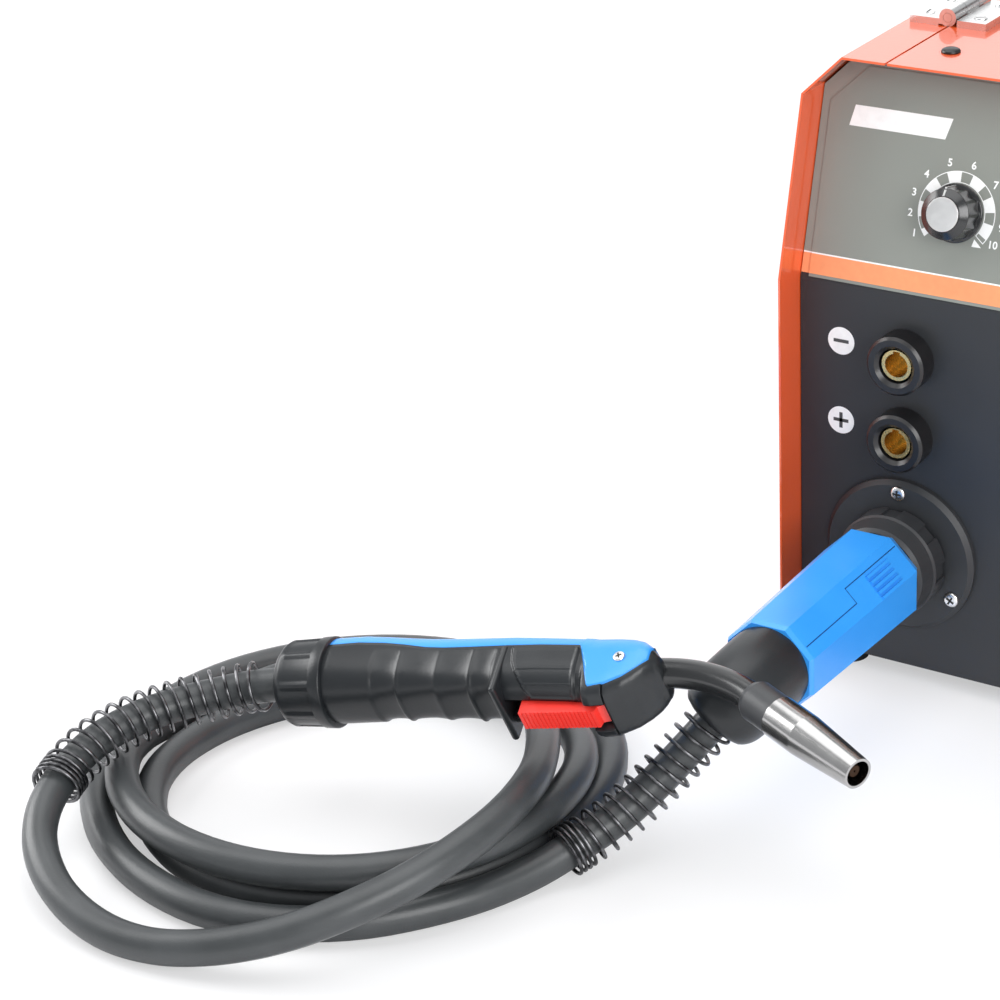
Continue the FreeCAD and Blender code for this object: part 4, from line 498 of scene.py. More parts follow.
# Front panel: the grey, the stripe and the line of its leaning half run out to its edge,
# past the film, and below them it is coated black like the rest.
def front_coat():
    coat = Finish("front_coat", PANEL_BLACK, 0.5, Coat_Weight=0.1, Coat_Roughness=0.35)
    drift = coat.noise(5, 2)
    grain = coat.noise(1400, 2)
    level = coat.node("SeparateXYZ", None, [coat.place()], "Z")
    height = (level - PANEL_BEND.z) * (1 / math.cos(LEAN))
    black = coat.ramp(drift, (0.3, (0.018, 0.020, 0.023, 1)), (0.75, (0.026, 0.028, 0.032, 1)))
    colour = coat.mix(height > STRIPE_LOW, black, STRIPE)
    colour = coat.mix(height > STRIPE_HIGH, colour, (0.85, 0.86, 0.85))
    coat.set("Base Color", coat.mix(height > LINE_HIGH, colour, GREY))
    coat.set("Roughness", 0.46 + drift * 0.1)
    coat.bump(grain, 0.00005)
    return coat


front_coat().paint("front_panel")


# Each made piece gets its finish and its slot, and rides on its body
def piece(name, mesh, body="housing", finish=None):
    item = bpy.data.objects.new(name, mesh)
    scene.collection.objects.link(item)
    item.data.materials.append(finish.material)
    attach(item, body)
    return item


def settled(shape, name, smooth=False, place=None):
    if place is not None:
        bmesh.ops.transform(shape, matrix=place, verts=shape.verts)
    bmesh.ops.recalc_face_normals(shape, faces=shape.faces)
    mesh = bpy.data.meshes.new(name)
    for face in shape.faces:
        face.smooth = smooth
    shape.to_mesh(mesh)
    shape.free()
    return mesh


def add_patch(shape, outline, thick):
    corners = [shape.verts.new((x / 1000, y / 1000, 0)) for x, y in outline]
    face = shape.faces.new(corners)
    raised = bmesh.ops.extrude_face_region(shape, geom=[face])
    lifted = [item for item in raised["geom"] if isinstance(item, bmesh.types.BMVert)]
    bmesh.ops.translate(shape, verts=lifted, vec=(0, 0, thick))


def arc_patch(shape, middle, inner, outer, start, end, thick):
    steps = max(2, round(abs(end - start) / 3))
    outline = []
    for radius, first, last in ((outer, start, end), (inner, end, start)):
        for step in range(steps + 1):
            angle = math.radians(first + (last - first) * step / steps)
            outline.append((middle[0] + radius * math.cos(angle), middle[1] + radius * math.sin(angle)))
    add_patch(shape, outline, thick)


def ink(name, colour, roughness=0.45):
    colour_ink = Finish(name, colour, roughness)
    blotch = colour_ink.noise(260, 3)
    colour_ink.set("Roughness", roughness - 0.05 + blotch * 0.12)
    dark = tuple(part * 0.93 for part in colour) + (1,)
    colour_ink.set("Base Color", colour_ink.ramp(blotch, (0.3, dark), (0.7, (*colour, 1))))
    return colour_ink


white_ink = ink("white_ink", (0.93, 0.94, 0.93))
orange_ink = ink("orange_ink", STRIPE, 0.35)
dark_ink = ink("dark_ink", (0.06, 0.062, 0.064))


def on_film(name, shape, finish=white_ink):
    piece(name, settled(shape, name, place=FILM_FRAME), finish=finish)


def across_film(low, high):
    low *= 1000
    high *= 1000
    return [(-FILM_HALF, low), (FILM_HALF, low), (FILM_HALF, high), (-FILM_HALF, high)]


# Orange band along the foot of the film, with a thin white line above it
band = bmesh.new()
add_patch(band, across_film(STRIPE_LOW, STRIPE_HIGH), INK)
on_film("film_band", band, orange_ink)
band_line = bmesh.new()
add_patch(band_line, across_film(STRIPE_HIGH, LINE_HIGH), INK)
on_film("film_band_line", band_line)

# Blank name plate, a white slanted field
blank = bmesh.new()
add_patch(blank, [(-88.5, 85.6), (-32, 85.6), (-28.8, 96.9), (-86.1, 96.9)], INK)
on_film("film_blank_field", blank)

# Scale of each dial: seven white blocks inside a thin white outline, and a pointer below
SCALE_INNER = 16.0
SCALE_OUTER = 22.2
SCALE_START = 222
SCALE_END = -39.3
SCALE_LINE = 0.45
BLOCK_START = 112.2
BLOCK_WIDE = 22.4
BLOCK_STEP = 40.5
END_WIDE = 1.2
POINTER = [(12.15, -12.1), (11.05, -16.2), (16.55, -16.1)]
for index, across in enumerate(DIAL_PLACES):
    middle = (across * 1000, DIAL * 1000)
    inside = (SCALE_INNER + SCALE_LINE, SCALE_OUTER - SCALE_LINE)
    scale = bmesh.new()
    for block in range(-3, 4):
        first = min(BLOCK_START - BLOCK_STEP * block, SCALE_START - END_WIDE)
        last = max(BLOCK_START - BLOCK_STEP * block - BLOCK_WIDE, SCALE_END)
        arc_patch(scale, middle, *inside, first, last, INK)
    for radius in (SCALE_INNER, SCALE_OUTER - SCALE_LINE):
        arc_patch(scale, middle, radius, radius + SCALE_LINE, SCALE_START, SCALE_END, INK)
    for angle in (SCALE_START, SCALE_END + END_WIDE):
        arc_patch(scale, middle, *inside, angle, angle - END_WIDE, INK)
    add_patch(scale, [(middle[0] + x, middle[1] + y) for x, y in POINTER], INK)
    on_film(f"dial_scale_{index}", scale)


# Numbers round each dial, from 1 at the lower left to 10 at the lower right
NUMBER_RADIUS = 0.0266
NUMBER_HEIGHT = 0.0057
NUMBER_WEIGHT = 0.00012
NUMBER_ANGLES = (212, 188, 164, 138, 106, 76, 41, 14, -9, -31)


def print_number(name, number, place):
    letters = bpy.data.curves.new(name, "FONT")
    letters.body = str(number)
    letters.size = NUMBER_HEIGHT
    letters.extrude = INK / 2
    letters.offset = NUMBER_WEIGHT
    letters.align_x = "CENTER"
    letters.align_y = "CENTER"
    letters.resolution_u = 3
    holder = bpy.data.objects.new(name + "_letters", letters)
    scene.collection.objects.link(holder)
    mesh = bpy.data.meshes.new_from_object(holder)
    bpy.data.objects.remove(holder)
    mesh.transform(place @ Matrix.Translation((0, 0, INK / 2)))
    mesh.materials.clear()
    piece(name, mesh, finish=white_ink)


for index, across in enumerate(DIAL_PLACES):
    for number, degrees in enumerate(NUMBER_ANGLES, 1):
        angle = math.radians(degrees)
        spot = Matrix.Translation((
            across + NUMBER_RADIUS * math.cos(angle),
            DIAL + NUMBER_RADIUS * math.sin(angle),
            0,
        ))
        print_number(f"dial_{index}_number_{number}", number, FILM_FRAME @ spot)


# Polarity marks beside the sockets: white printed discs with a dark minus and plus
MARK_PLACE = -81.4
MARK_RADIUS = 8
MARK_INK = INK * 1.6
LEVEL_BAR = (4.6, 1.0)
UPRIGHT_BAR = (1.0, 4.6)
for name, level, bars in (("minus", 201.4, [LEVEL_BAR]), ("plus", 154.3, [LEVEL_BAR, UPRIGHT_BAR])):
    disc = bmesh.new()
    arc_patch(disc, (MARK_PLACE, level), 0.02, MARK_RADIUS, 0, 359.9, INK)
    piece(f"{name}_disc", settled(disc, "disc", place=FRONT_FRAME), finish=white_ink)
    mark = bmesh.new()
    for wide, tall in bars:
        corners = [(-wide, -tall), (wide, -tall), (wide, tall), (-wide, tall)]
        add_patch(mark, [(MARK_PLACE + x, level + z) for x, z in corners], MARK_INK)
    piece(f"{name}_mark", settled(mark, "mark", place=FRONT_FRAME), finish=dark_ink)


# Rear panel's fan and mains switch: the fan is a moulded frame round seven blades, the
# switch a snap-in housing with a red rocker.
def moulded(name, colour, roughness=0.42, grain_size=700, coat=0.0):
    resin = Finish(name, colour, roughness, Coat_Weight=coat, Coat_Roughness=0.2)
    drift = resin.noise(22, 3)
    grain = resin.noise(grain_size, 2)
    lighter = tuple(min(1, part * 1.35 + 0.002) for part in colour) + (1,)
    resin.set("Base Color", resin.ramp(drift, (0.3, (*colour, 1)), (0.8, lighter)))
    resin.set("Roughness", roughness - 0.06 + drift * 0.14)
    resin.bump(grain, 0.00005)
    return resin


black_resin = moulded("black_resin", (0.018, 0.019, 0.021))
black_resin.paint("door_latch", "fan_frame", "fan_rotor", "mains_switch", "mains_gland")
black_resin.paint("spool_hub", "hub_nut", "tension_lever")
red_resin = moulded("red_resin", (0.80, 0.035, 0.025), 0.3, coat=0.3)
red_resin.paint("mains_rocker")


# Divider, heatsink and what stands behind it: zinc-plated sheet, extruded aluminium fins,
# a lacquered transformer, and a feed motor in a steel shell.
def metal(name, colour, roughness, streak=(1, 1, 1), scale=240):
    surface = Finish(name, colour, roughness, Metallic=1.0)
    grain = surface.noise(scale, 3, streak)
    cloud = surface.noise(26, 3)
    darker = tuple(part * 0.78 for part in colour) + (1,)
    surface.set("Base Color", surface.ramp(cloud, (0.3, darker), (0.75, (*colour, 1))))
    surface.set("Roughness", roughness - 0.08 + grain * 0.2)
    surface.bump(grain, 0.00003)
    return surface


metal("zinc_plate", (0.60, 0.61, 0.62), 0.36).paint(
    "divider_wall", "feed_plate", "pressure_arm", "gas_inlet", "drive_roll", "wire_guides"
)
metal("extruded_aluminium", (0.72, 0.72, 0.73), 0.34, (1, 0.05, 1), 500).paint("heatsink")
metal("lacquered_steel", (0.16, 0.165, 0.17), 0.4).paint("feed_motor", "transformer", "pressure_roll")


# Spool: black moulded reel on a braked hub, wound with copper-coated steel wire whose
# turns lie side by side. The copper is darker in bands between the turns: painted shade.
def wound_copper():
    wire = Finish("wound_copper", (0.75, 0.40, 0.24), 0.25, Metallic=1.0)
    turns = wire.node(
        "TexWave",
        {"wave_type": "BANDS", "bands_direction": "X", "wave_profile": "SIN"},
        {"Vector": wire.place(), "Scale": 160.0, "Distortion": 0.6, "Detail": 1.0},
        "Fac",
    )
    # The dark bands where the turns meet are painted shade; the bright bands are the copper's own colour
    wire.set("Base Color", wire.ramp(turns, (0.1, (0.30, 0.13, 0.07, 1)), (0.6, (0.80, 0.44, 0.27, 1))))
    wire.set("Roughness", 0.2 + wire.noise(300) * 0.2)
    wire.bump(turns, 0.0004)
    return wire


wound_copper().paint("wire_pack")
moulded("reel_black", (0.024, 0.025, 0.026), 0.5).paint("wire_spool")
# Contact tip: copper painted nearly black, as painted shade for the inside of the nozzle's mouth
metal("tip_copper_painted_shade", (0.07, 0.04, 0.025), 0.5).paint("contact_tip")


# Control board: green laminate with brighter tracks, behind the leaning panel
def laminate():
    board = Finish("laminate", (0.02, 0.16, 0.06), 0.35, Coat_Weight=0.4)
    tracks = board.node(
        "TexBrick",
        None,
        {"Vector": board.place(), "Scale": 90.0, "Mortar Size": 0.03, "Color1": (0.02, 0.16, 0.06, 1),
         "Color2": (0.025, 0.19, 0.07, 1), "Mortar": (0.05, 0.32, 0.12, 1)},
        "Color",
    )
    board.set("Base Color", tracks)
    board.set("Roughness", 0.3 + board.noise(200) * 0.15)
    return board


laminate().paint("control_board")


# Lifting handle: steel bar with a moulded grip, matt black with a fine grain
moulded("handle_black", (0.02, 0.02, 0.021), 0.5, 420).paint("carry_handle")


# Hinges: chrome-plated leaves on the top sheet, with knuckles round a steel pin. Each
# leaf is held by two countersunk screws with a straight slot.
def plated(name, roughness, tint):
    plating = Finish(name, tint, roughness, Metallic=1.0)
    wear = plating.noise(60, 4)
    patch_tone = tuple(part * 0.86 for part in tint) + (1,)
    plating.set("Roughness", roughness - 0.03 + wear * 0.12)
    plating.set("Base Color", plating.ramp(wear, (0.25, patch_tone), (0.7, (*tint, 1))))
    plating.bump(plating.noise(260, 2), 0.00002)
    return plating


chrome = plated("chrome_plate", 0.24, (0.90, 0.90, 0.89))
chrome.paint("hinge_leaves", "door_hinge_leaves", "hinge_pins")
slot_shade = ink("slot_shade", (0.02, 0.02, 0.02), 0.6)
HINGE_TOP = 0.362
HINGE_SEAM = -0.061
HINGE_PLACES = (-0.102, 0.102)
HINGE_SCREW = 0.0036
HINGE_SCREW_ASIDE = 0.0155
HINGE_SCREW_APART = 0.013
SCREW_HEAD = 0.0006
HEAD_TAPER = 0.93
RIM_SHARE = 0.12
RIM_RISE = 0.00012
GROOVE_DEPTH = 0.0002
GROOVE_LONG = 1.6
GROOVE_WIDE = 0.26


def slotted_screw(name, radius, place, body, turn):
    head = bmesh.new()
    bmesh.ops.create_cone(
        head, cap_ends=True, cap_tris=False, segments=40,
        radius1=radius, radius2=radius * HEAD_TAPER, depth=SCREW_HEAD,
    )
    top = max(head.faces, key=lambda face: face.calc_center_median().z)
    bmesh.ops.inset_individual(head, faces=[top], thickness=radius * RIM_SHARE, depth=RIM_RISE)
    piece(name, settled(head, name, place=place), body, chrome)
    groove = bmesh.new()
    bmesh.ops.create_cube(groove, size=1)
    level = Matrix.Translation((0, 0, SCREW_HEAD / 2 + 0.00004))
    size = Matrix.Diagonal((radius * GROOVE_LONG, radius * GROOVE_WIDE, GROOVE_DEPTH, 1))
    turned = Matrix.Rotation(turn, 4, "Z") @ level @ size
    bmesh.ops.transform(groove, matrix=turned, verts=groove.verts)
    mesh = settled(groove, name + "_slot", place=place)
    piece(name + "_slot", mesh, body, slot_shade)


for hinge, middle in enumerate(HINGE_PLACES):
    for side, body in ((1, "housing"), (-1, "door")):
        for end, label in ((-1, "front"), (1, "rear")):
            spot = Matrix.Translation((
                HINGE_SEAM + side * HINGE_SCREW_ASIDE,
                middle + end * HINGE_SCREW_APART,
                HINGE_TOP + SCREW_HEAD / 2,
            ))
            name = f"hinge_{hinge}_{body}_screw_{label}"
            slotted_screw(name, HINGE_SCREW, spot, body, 0.5 * end + side)


# Power sockets: glossy black moulded rings, each round a turned brass contact
gloss = moulded("gloss_black", (0.007, 0.007, 0.008), 0.34, 300, coat=0.1)
gloss.paint("socket_negative", "socket_positive")
metal("turned_brass", (0.86, 0.62, 0.26), 0.24, (1, 6, 1), 300).paint("socket_contacts", "central_adaptor")


# Torch connector: a moulded flange, held by three pan-head screws with a cross, and the
# ring nut of the plug
moulded("flange_resin", (0.022, 0.024, 0.027), 0.5, 900).paint("connector_flange", "plug_nut")
# Each step of a round head is its rise and its width as a share of the step below
PAN_STEPS = ((0.0003, 1.0), (0.0003, 0.94), (0.00025, 0.8), (0.0001, 0.55))
PAN_HEIGHT = 0.00095
CROSS_LONG = 1.15
CROSS_WIDE = 0.24
CROSS_DEPTH = 0.0003
FLANGE_FACE = 0.0051
FLANGE_SCREW = 0.0043
SCREW_CIRCLE = 0.0383
TO_FRONT = Matrix.Rotation(math.radians(90), 4, "X")
TWICE_AS_HIGH = Matrix.Diagonal((1, 1, 2, 1))


def grown(shape, face, up, share):
    top = bmesh.ops.extrude_discrete_faces(shape, faces=[face])["faces"][0]
    middle = top.calc_center_median()
    for vertex in top.verts:
        vertex.co = middle + (vertex.co - middle) * share + Vector((0, 0, up))
    return top


def round_disc(radius, level, sides):
    shape = bmesh.new()
    bmesh.ops.create_circle(shape, cap_ends=True, segments=sides, radius=radius)
    bmesh.ops.translate(shape, verts=shape.verts, vec=(0, 0, level))
    shape.faces.ensure_lookup_table()
    return shape, shape.faces[0]


def stepped(radius, level, sides, steps):
    shape, top = round_disc(radius, level, sides)
    for up, share in steps:
        top = grown(shape, top, up, share)
    bmesh.ops.holes_fill(shape, edges=shape.edges)
    return shape


def cross_screw(name, radius, place, turn):
    head = stepped(radius, 0.0, 40, PAN_STEPS)
    screw = piece(name, settled(head, name, True, place), finish=chrome)
    cross = bmesh.new()
    for angle in (turn, turn + math.pi / 2):
        bar = bmesh.ops.create_cube(cross, size=1)["verts"]
        size = Matrix.Diagonal((radius * CROSS_LONG, radius * CROSS_WIDE, CROSS_DEPTH, 1))
        level = Matrix.Translation((0, 0, PAN_HEIGHT))
        bmesh.ops.transform(cross, matrix=level @ Matrix.Rotation(angle, 4, "Z") @ size, verts=bar)
    mesh = settled(cross, name + "_cross", place=place)
    piece(name + "_cross", mesh, finish=slot_shade)
    return screw


flange_heads = []
for name, degrees in (("top", 90), ("left", 210), ("right", 330)):
    angle = math.radians(degrees)
    spot = Vector((SCREW_CIRCLE * math.cos(angle), -FLANGE_FACE, SCREW_CIRCLE * math.sin(angle)))
    facing = Matrix.Translation(PORT + spot) @ TO_FRONT @ TWICE_AS_HIGH
    flange_heads.append(cross_screw(f"flange_screw_{name}", FLANGE_SCREW, facing, angle))
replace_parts(flange_heads[0], "flange_screws")


# Dials: black knobs with a skirt, twelve finger flutes and a polished slope up to a
# bright cap. A white line on one ridge and a dark notch in the cap show where it stands.
KNOB_RADIUS = 0.0154
KNOB_GAP = 0.0004
KNOB_SKIRT = ((0.0005, 1.025), (0.0013, 1.0), (0.0005, 0.975), (0.0002, 0.945))
KNOB_GRIP = (0.0112, 0.965)
KNOB_SHOULDER = 0.0136
SHOULDER_RISE = 0.0006
KNOB_SLOPE = (0.0028, 0.70)
KNOB_SIDES = 96
KNOB_FLUTES = 12
FLUTE_DEPTH = 0.085
POINTER_TURN = math.radians(95)
POINTER_HALF = 0.0006
NOTCH_TURN = math.radians(122)
CAP_RADIUS = 0.0091
CAP_HEIGHT = 0.0176
CAP_START = 0.017
CAP_STEPS = ((0.0009, 1.0), (0.0003, 0.965))
POINTER_PATH = ((0.01470, 0.0031), (0.01422, 0.0142), (0.0096, CAP_HEIGHT))
knob_black = moulded("knob_black", (0.011, 0.012, 0.013), 0.24, 500, coat=0.4)
cap_silver = metal("cap_silver", (0.97, 0.97, 0.96), 0.36, (1, 1, 1), 500)


def soften(shape, width, segments=3, least=0.35):
    bmesh.ops.recalc_face_normals(shape, faces=shape.faces)
    sharp = [edge for edge in shape.edges if edge.is_manifold and edge.calc_face_angle(0) > least]
    bmesh.ops.bevel(
        shape, geom=sharp, offset=width, segments=segments, profile=0.5, affect="EDGES",
        clamp_overlap=True, material=-1,
    )


def slab(outline, low, high, width=0.0):
    shape = bmesh.new()
    add_patch(shape, outline, (high - low) / 1000)
    bmesh.ops.translate(shape, verts=shape.verts, vec=(0, 0, low / 1000))
    if width:
        soften(shape, width / 1000)
    return shape


def evened(item):
    item.modifiers.new("even_shading", "WEIGHTED_NORMAL").weight = 80
    return item


def fluted_knob():
    shape, top = round_disc(KNOB_RADIUS, KNOB_GAP, KNOB_SIDES)
    for up, share in KNOB_SKIRT:
        top = grown(shape, top, up, share)
    for vertex in top.verts:
        angle = math.atan2(vertex.co.y, vertex.co.x) - POINTER_TURN
        dip = FLUTE_DEPTH * (0.5 - 0.5 * math.cos(KNOB_FLUTES * angle)) ** 0.8
        vertex.co.x *= 1 - dip
        vertex.co.y *= 1 - dip
    top = grown(shape, top, *KNOB_GRIP)
    for vertex in top.verts:
        reach = KNOB_SHOULDER / math.hypot(vertex.co.x, vertex.co.y)
        vertex.co.x *= reach
        vertex.co.y *= reach
        vertex.co.z += SHOULDER_RISE
    grown(shape, top, *KNOB_SLOPE)
    bmesh.ops.holes_fill(shape, edges=shape.edges)
    soften(shape, 0.00025, 2, 0.6)
    return shape


def pointer_line():
    shape = bmesh.new()
    rows = []
    for reach, level in POINTER_PATH:
        rows.append([shape.verts.new((reach, side, level)) for side in (-POINTER_HALF, POINTER_HALF)])
    for low, high in zip(rows, rows[1:]):
        shape.faces.new((low[0], low[1], high[1], high[0]))
    bmesh.ops.solidify(shape, geom=shape.faces[:], thickness=0.0002)
    return shape


for dial, across in zip(("voltage", "speed"), DIAL_PLACES):
    spot = FILM_FRAME @ Matrix.Translation((across, DIAL, 0))
    turned = spot @ Matrix.Rotation(POINTER_TURN, 4, "Z")
    body = f"{dial}_dial"
    mesh = settled(fluted_knob(), "knob", True, spot)
    knob = evened(piece(f"{dial}_knob", mesh, body, knob_black))
    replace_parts(knob, f"knob_{dial}")
    disc = stepped(CAP_RADIUS, CAP_START, 64, CAP_STEPS)
    cap = evened(piece(f"{dial}_cap", settled(disc, "cap", True, spot), body, cap_silver))
    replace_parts(cap, f"cap_{dial}")
    mesh = settled(pointer_line(), "pointer", place=turned)
    piece(f"{dial}_pointer", mesh, body, white_ink)
    notch = slab([(2.6, -0.5), (6.2, -0.35), (6.2, 0.35), (2.6, 0.5)], 17.9, 18.0)
    lean_notch = spot @ Matrix.Rotation(NOTCH_TURN, 4, "Z")
    piece(f"{dial}_notch", settled(notch, "notch", place=lean_notch), body, slot_shade)


# Blanking plug near the front edge of the top sheet: an orange washer that lies flush in
# the sheet's hole, and a low black dome on it
BLANK_SPOT = Matrix.Translation((-0.0392, -0.1648, 0.358))
WASHER_RADIUS = 0.00612
WASHER_THICK = 0.0009
DOME_RADIUS = 0.0052
DOME_STEPS = ((0.0009, 0.985), (0.0006, 0.93), (0.0005, 0.82), (0.0003, 0.6), (0.0001, 0.4))
washer = stepped(WASHER_RADIUS, -WASHER_THICK, 48, [(WASHER_THICK, 1.0)])
piece("top_washer", settled(washer, "washer", place=BLANK_SPOT), finish=cover_orange)
dome = stepped(DOME_RADIUS, 0.0, 48, DOME_STEPS)
piece("top_dome", settled(dome, "dome", True, BLANK_SPOT), finish=gloss)


# Plug and back of the torch: bright blue moulded halves with a soft gloss
def blue_resin():
    resin = Finish("blue_resin", (0.03, 0.31, 0.88), 0.34, Coat_Weight=0.35, Coat_Roughness=0.18)
    drift = resin.noise(16, 3)
    grain = resin.noise(520, 2)
    shades = (0.3, (0.025, 0.29, 0.83, 1)), (0.8, (0.04, 0.34, 0.90, 1))
    resin.set("Base Color", resin.ramp(drift, *shades))
    resin.set("Roughness", 0.3 + drift * 0.12)
    resin.bump(grain, 0.00006)
    return resin


bright_blue = blue_resin()
bright_blue.paint("plug_upper_half", "plug_lower_half")


# Parting line of the plug's two halves, with the step in it, on the facet that faces up and
# to the right: dark blue bars, painted shade in the seam, in millimetres along the plug and across the
# facet
PLUG_SWELL = 38
PLUG_WAIST = 150
FACET_FRONT = 28
FACET_REAR = 25.25
FACET_PROUD = 0.06
SEAM_HALF = 0.28
SEAM_START = 39
SEAM_STEP = 95
SEAM_END = 149
SEAM_FRONT = 6.5
SEAM_REAR = -3.4
SEAM_BARS = (
    (SEAM_START, SEAM_STEP, SEAM_FRONT - SEAM_HALF, SEAM_FRONT + SEAM_HALF),
    (SEAM_STEP - SEAM_HALF, SEAM_STEP + SEAM_HALF, SEAM_REAR - SEAM_HALF, SEAM_FRONT + SEAM_HALF),
    (SEAM_STEP, SEAM_END, SEAM_REAR - SEAM_HALF, SEAM_REAR + SEAM_HALF),
)


def on_facet(along, across):
    share = (along - PLUG_SWELL) / (PLUG_WAIST - PLUG_SWELL)
    out = FACET_FRONT + (FACET_REAR - FACET_FRONT) * share + FACET_PROUD
    slant = math.sqrt(0.5)
    return PORT + Vector(((out - across) * slant, -along, (out + across) * slant)) / 1000


seam_shade_blue = ink("seam_shade_blue", (0.012, 0.10, 0.34), 0.5)
seam = bmesh.new()
for start, end, low, high in SEAM_BARS:
    corners = ((start, low), (end, low), (end, high), (start, high))
    seam.faces.new([seam.verts.new(on_facet(*corner)) for corner in corners])
bmesh.ops.solidify(seam, geom=seam.faces[:], thickness=0.00005)
piece("plug_seam", settled(seam, "plug_seam"), finish=seam_shade_blue)


# Rubber boot at the plug's end: a smooth round sleeve that bends with the cable, with a
# rounded rim where the spring and the cable come out of it.
BOOT_START = 0.1515
BOOT_RADIUS = 23.5
BOOT_MOUTH = 14.4
MOUTH_PROUD = 0.001
BOOT_STEPS = 36
BOOT_SIDES = 72
BOOT_ROUND = 0.6


def lofted(rings):
    shape = bmesh.new()
    rows = [[shape.verts.new((x / 1000, y / 1000, z / 1000)) for x, y, z in ring] for ring in rings]
    count = len(rows[0])
    for low, high in zip(rows, rows[1:]):
        for index in range(count):
            after = (index + 1) % count
            shape.faces.new((low[index], low[after], high[after], high[index]))
    shape.faces.new(rows[0])
    shape.faces.new(rows[-1][::-1])
    return shape


def boot_rings():
    start = PORT - Vector((0, BOOT_START, 0))
    bend = PORT - Vector((0, SLEEVE_END, 0))
    end = LEAVE_POINT + LEAVE_WAY * MOUTH_PROUD
    rings = []
    for step in range(BOOT_STEPS + 1):
        share = step / BOOT_STEPS
        centre = start.lerp(bend, share).lerp(bend.lerp(end, share), share) * 1000
        way = (bend - start).lerp(end - bend, share).normalized()
        late = max(share - BOOT_ROUND, 0) / (1 - BOOT_ROUND)
        radius = BOOT_MOUTH + (BOOT_RADIUS - BOOT_MOUTH) * math.sqrt(1 - late * late)
        turn = Vector((0, -1, 0)).rotation_difference(way)
        ring = []
        for side in range(BOOT_SIDES):
            angle = 2 * math.pi * side / BOOT_SIDES
            ring.append(centre + turn @ Vector((math.cos(angle), 0, math.sin(angle))) * radius)
        rings.append(ring)
    return rings


torch_black = moulded("torch_black", (0.010, 0.012, 0.014), 0.34, 620)
boot_mesh = settled(lofted(boot_rings()), "plug_boot", True)
boot = piece("plug_boot", boot_mesh, finish=torch_black)
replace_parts(boot, "plug_sleeve")


# Torch handle: drawn along its own axis, with X toward the trigger. A round grip with
# finger hollows between ridges, blue at its back, runs into the head that holds the trigger.
TORCH_ROLL = math.radians(22.3)
LEVEL_WAY = Vector((TORCH_WAY.y, -TORCH_WAY.x, 0)).normalized()
TRIGGER_WAY = LEVEL_WAY * math.cos(TORCH_ROLL) + TORCH_WAY.cross(LEVEL_WAY) * math.sin(TORCH_ROLL)
TORCH_AXES = Matrix((TRIGGER_WAY, TORCH_WAY.cross(TRIGGER_WAY), TORCH_WAY)).transposed().to_4x4()
TORCH_FRAME = Matrix.Translation(TORCH_FOOT) @ TORCH_AXES

# Sections of the handle in millimetres: place along the torch, middle, half depth, half
# width, power of the rounding, and the level at which black meets blue
Station = namedtuple("Station", "along middle deep wide power split")
STATIONS = [Station(*sizes) for sizes in (
    (34, -1.0, 22.2, 21.6, 2.15, -8.0),
    (46, -1.0, 22.4, 21.6, 2.2, -8.2),
    (59, -1.4, 22.2, 21.0, 2.35, -9.6),
    (74, -1.0, 21.2, 20.2, 2.5, -9.4),
    (86, -0.4, 20.4, 19.7, 2.6, -8.0),
    (99, 0.2, 19.8, 19.4, 2.7, -5.6),
    (110, 0.6, 19.6, 19.3, 2.8, -4.9),
    (128, 1.0, 19.8, 19.3, 2.9, -4.9),
    (147, 1.5, 20.0, 19.5, 2.9, -5.0),
    (165, 2.5, 19.8, 19.7, 2.8, -4.8),
    (187, 4.0, 19.6, 19.8, 2.8, -3.6),
    (191.5, 4.4, 19.6, 19.8, 2.8, 8.0),
    (193.5, 7.0, 22.0, 20.0, 4.6, 14.0),
    (197, 7.3, 22.2, 20.0, 5.0, 24.0),
    (206, 7.0, 21.6, 20.0, 5.0, 22.3),
    (214, 5.6, 19.0, 19.8, 4.6, 17.8),
    (219.5, 4.4, 15.8, 19.4, 4.0, 12.8),
    (223.5, 3.8, 12.0, 18.6, 3.6, 8.4),
    (226, 3.4, 8.8, 17.2, 3.2, 5.0),
    (228, 3.2, 6.0, 15.0, 3.0, 4.0),
)]
RIDGES = (70, 86, 108.5, 128, 141)
HOLLOW = 1.5
GRIP_START = 34
GUARD = 143
GUARD_THICK = 4
CAP_INSET = 0.3
CAP_REACH = 13.5
HEAD_START = 187
SLOT_END = 204.6
NOSE_END = 228
CAP_END = 225.5
BACK_POWER = 2.8
SLOT_HALF = 6.7
SLOT_LEVEL = 10
SLOT_FLOOR = -7
SCOOP_START = 192
SCOOP_HALF = 10
SCOOP_LEVEL = 22
PLATE_START = 149
PLATE_END = 187.5
PLATE_RISE = 1.3
PLATE_LEAN = 14
PLATE_RIM = 1.5
PLATE_DIP = 0.45
PLATE_RIBS = (0.34, 0.66)
ARC_STEPS = 44


def station(along):
    for low, high in zip(STATIONS, STATIONS[1:]):
        if along <= high.along:
            share = (along - low.along) / (high.along - low.along)
            return Station(*(first + (last - first) * share for first, last in zip(low, high)))
    return STATIONS[-1]


def hollow(along):
    for low, high in zip(RIDGES, RIDGES[1:]):
        if low < along < high:
            return math.sin(math.pi * (along - low) / (high - low)) ** 0.45
    return 0.0


def rounded_to(value, power):
    return math.copysign(abs(value) ** (2 / power), value)


def power_at(section, share):
    return section.power if share > 0 else min(section.power, BACK_POWER)


def split_angle(along):
    section = station(along)
    share = max(min((section.split - section.middle) / section.deep, 0.999), -0.999)
    return math.acos(math.copysign(abs(share) ** (power_at(section, share) / 2), share))


def plate_rise(along, share):
    start = PLATE_START + PLATE_LEAN * share
    if not start <= along <= PLATE_END or not 0.06 <= share <= 0.97:
        return 0.0
    framed = not start + PLATE_RIM <= along <= PLATE_END - PLATE_RIM or not 0.1 <= share <= 0.93
    ribbed = any(abs(share - rib) < 0.014 for rib in PLATE_RIBS)
    return PLATE_RISE if framed or ribbed else PLATE_RISE - PLATE_DIP


